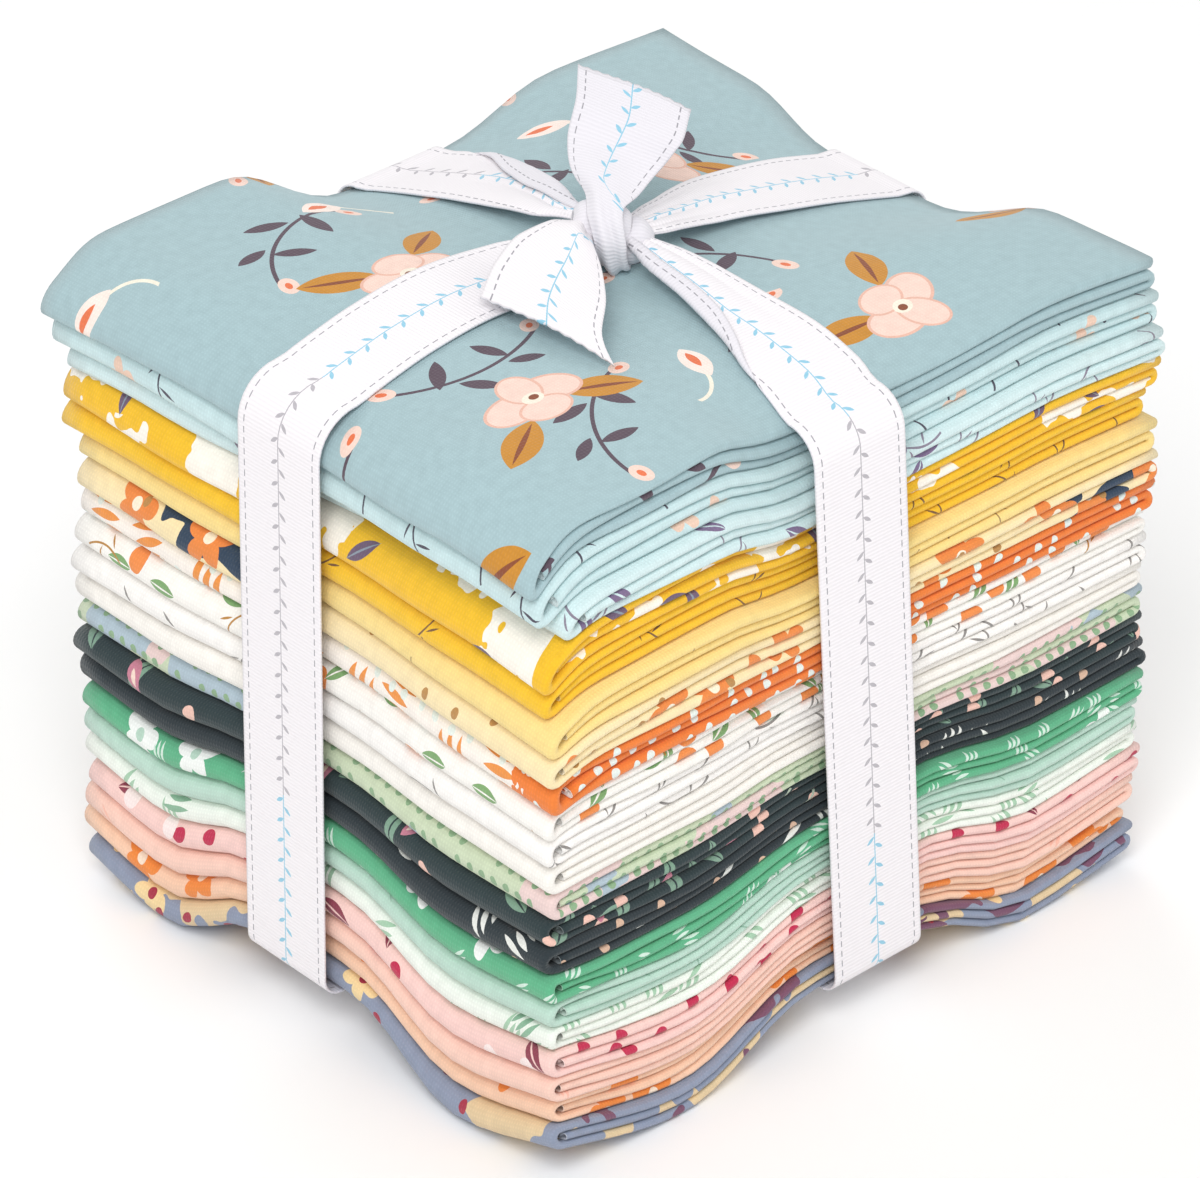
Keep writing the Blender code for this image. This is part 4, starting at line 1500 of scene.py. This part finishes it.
    def build(self) -> bpy.types.Object:
        """Make the whole ribbon as one piece and say what it is.

        Returns:
            The finished piece.
        """
        base = float(STACK.top.height(np.zeros(1), np.zeros(1))[0])
        grids = {"ribbon_tie": self.turn(BANDS[0])[:, ::-1], "ribbon_turn_y": self.turn(BANDS[1])}
        grids.update({roll.name: self.knot_roll(roll, base) for roll in ROLLS})
        grids.update({name: self.tail(rows, base) for name, rows in TAILS.items()})
        ribbon = TwillRibbon()
        # The back's greyer white is painted shade for folded strips that turn away from the light
        materials = [ribbon.material("face", ribbon.white), ribbon.material("back", ribbon.back)]
        bpy.ops.object.select_all(action="DESELECT")
        pieces = [self.strip(name, grid, materials) for name, grid in grids.items()]
        for piece in pieces:
            piece.select_set(True)
        bpy.context.view_layer.objects.active = pieces[0]
        bpy.ops.object.join()
        tie = bpy.context.view_layer.objects.active
        tie.select_set(False)
        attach(tie, BODY)
        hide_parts("ribbon")
        round(self.length, 3)
        LOG.info("%s: %d faces, %.3f m long", tie.name, len(tie.data.polygons), self.length)
        return tie


@dataclass(frozen=True)
class Studio:
    """The pale floor, the soft lights and the camera."""
    azimuth: float = -42.5
    elevation: float = 32.6
    distance: float = 1.224
    target: tuple = (-0.0004, -0.0003, 0.0688)
    lens: float = 195.0
    sensor_width: float = 36.0
    # The picture's middle lies this far from the target, in pixels of the photograph's width
    offset_x: float = -6.0
    offset_y: float = -21.2
    picture_width: float = 1200.0
    floor_size: float = 6.0
    sky_strength: float = 0.56

    def floor(self) -> None:
        """Lay the pale floor under the bundle."""
        bpy.ops.object.select_all(action="DESELECT")
        bpy.ops.mesh.primitive_plane_add(size=self.floor_size, location=(0, 0, 0))
        plane = bpy.context.object
        plane.name = "studio_floor"
        material = bpy.data.materials.new("matt_white_paper_sweep")
        material.use_nodes = True
        tree = material.node_tree
        place = add_node(tree, "ShaderNodeTexCoord")
        grain = add_node(tree, "ShaderNodeTexNoise", {"Vector": place.outputs["Object"], "Scale": 3.0})
        # Matt paper has no highlight, and its tone changes a little from place to place
        tone = add_node(tree, "ShaderNodeMapRange",
                        {"Value": grain.outputs["Fac"], "To Min": 0.93, "To Max": 0.96})
        shader = tree.nodes["Principled BSDF"]
        tree.links.new(tone.outputs[0], shader.inputs["Base Color"])
        shader.inputs["Roughness"].default_value = 0.9
        plane.data.materials.append(material)
        plane.select_set(False)

    def light(self, name: str, place: tuple, size: float, power: float) -> None:
        """Hang one soft light that faces the bundle.

        Args:
            name: The light's name.
            place: Where it hangs, in metres.
            size: Its width in metres.
            power: Its power in watts.
        """
        lamp = bpy.data.lights.new(name, "AREA")
        lamp.shape = "SQUARE"
        lamp.size = size
        lamp.energy = power
        holder = bpy.data.objects.new(name, lamp)
        holder.location = place
        aim = Vector(self.target) - Vector(place)
        holder.rotation_euler = aim.to_track_quat("-Z", "Y").to_euler()
        bpy.context.scene.collection.objects.link(holder)

    def lights(self) -> None:
        """Hang the lights and set the pale surroundings."""
        self.light("key_light", (-0.85, -0.7, 1.35), 0.9, 17.0)
        self.light("fill_light", (1.3, -0.9, 0.7), 1.2, 5.0)
        self.light("back_light", (0.3, 1.4, 1.2), 1.2, 8.0)
        world = bpy.data.worlds.new("pale_studio")
        world.use_nodes = True
        sky = world.node_tree.nodes["Background"]
        sky.inputs["Color"].default_value = (1.0, 1.0, 1.0, 1.0)
        sky.inputs["Strength"].default_value = self.sky_strength
        bpy.context.scene.world = world

    def camera(self) -> None:
        """Place the camera at the photograph's angle."""
        lens = bpy.data.cameras.new("camera")
        camera = bpy.data.objects.new("camera", lens)
        bpy.context.scene.collection.objects.link(camera)
        turn, rise = math.radians(self.azimuth), math.radians(self.elevation)
        back = Vector((math.sin(turn) * math.cos(rise), -math.cos(turn) * math.cos(rise), math.sin(rise)))
        camera.location = Vector(self.target) + back * self.distance
        camera.rotation_mode = "QUATERNION"
        camera.rotation_quaternion = back.to_track_quat("Z", "Y")
        lens.lens = self.lens
        lens.sensor_width = self.sensor_width
        lens.sensor_fit = "HORIZONTAL"
        lens.shift_x = self.offset_x / self.picture_width
        lens.shift_y = self.offset_y / self.picture_width
        lens.clip_end = 20.0
        bpy.context.scene.camera = camera

    def build(self) -> None:
        """Set up the whole studio, with plain colours as a camera's picture has them."""
        bpy.context.scene.view_settings.view_transform = "Standard"
        self.floor()
        self.lights()
        self.camera()
        LOG.info("studio: floor, three soft lights, camera")


def main() -> None:
    """Build the bundle from the bottom up, then its ribbon and the studio."""
    logging.basicConfig(level=logging.INFO)
    bpy.ops.object.select_all(action="DESELECT")
    shift = table_to_frame()
    LOG.info("table shift in mm: %s", shift)
    for row in CLOTHS:
        detail = Detail(flat_steps=44, panel_steps=34) if row is CLOTHS[-1] else Detail()
        FoldedCloth(row, shift, detail).build()
    RibbonTie(shift).build()
    Studio().build()


if __name__ == "__main__":
    main()
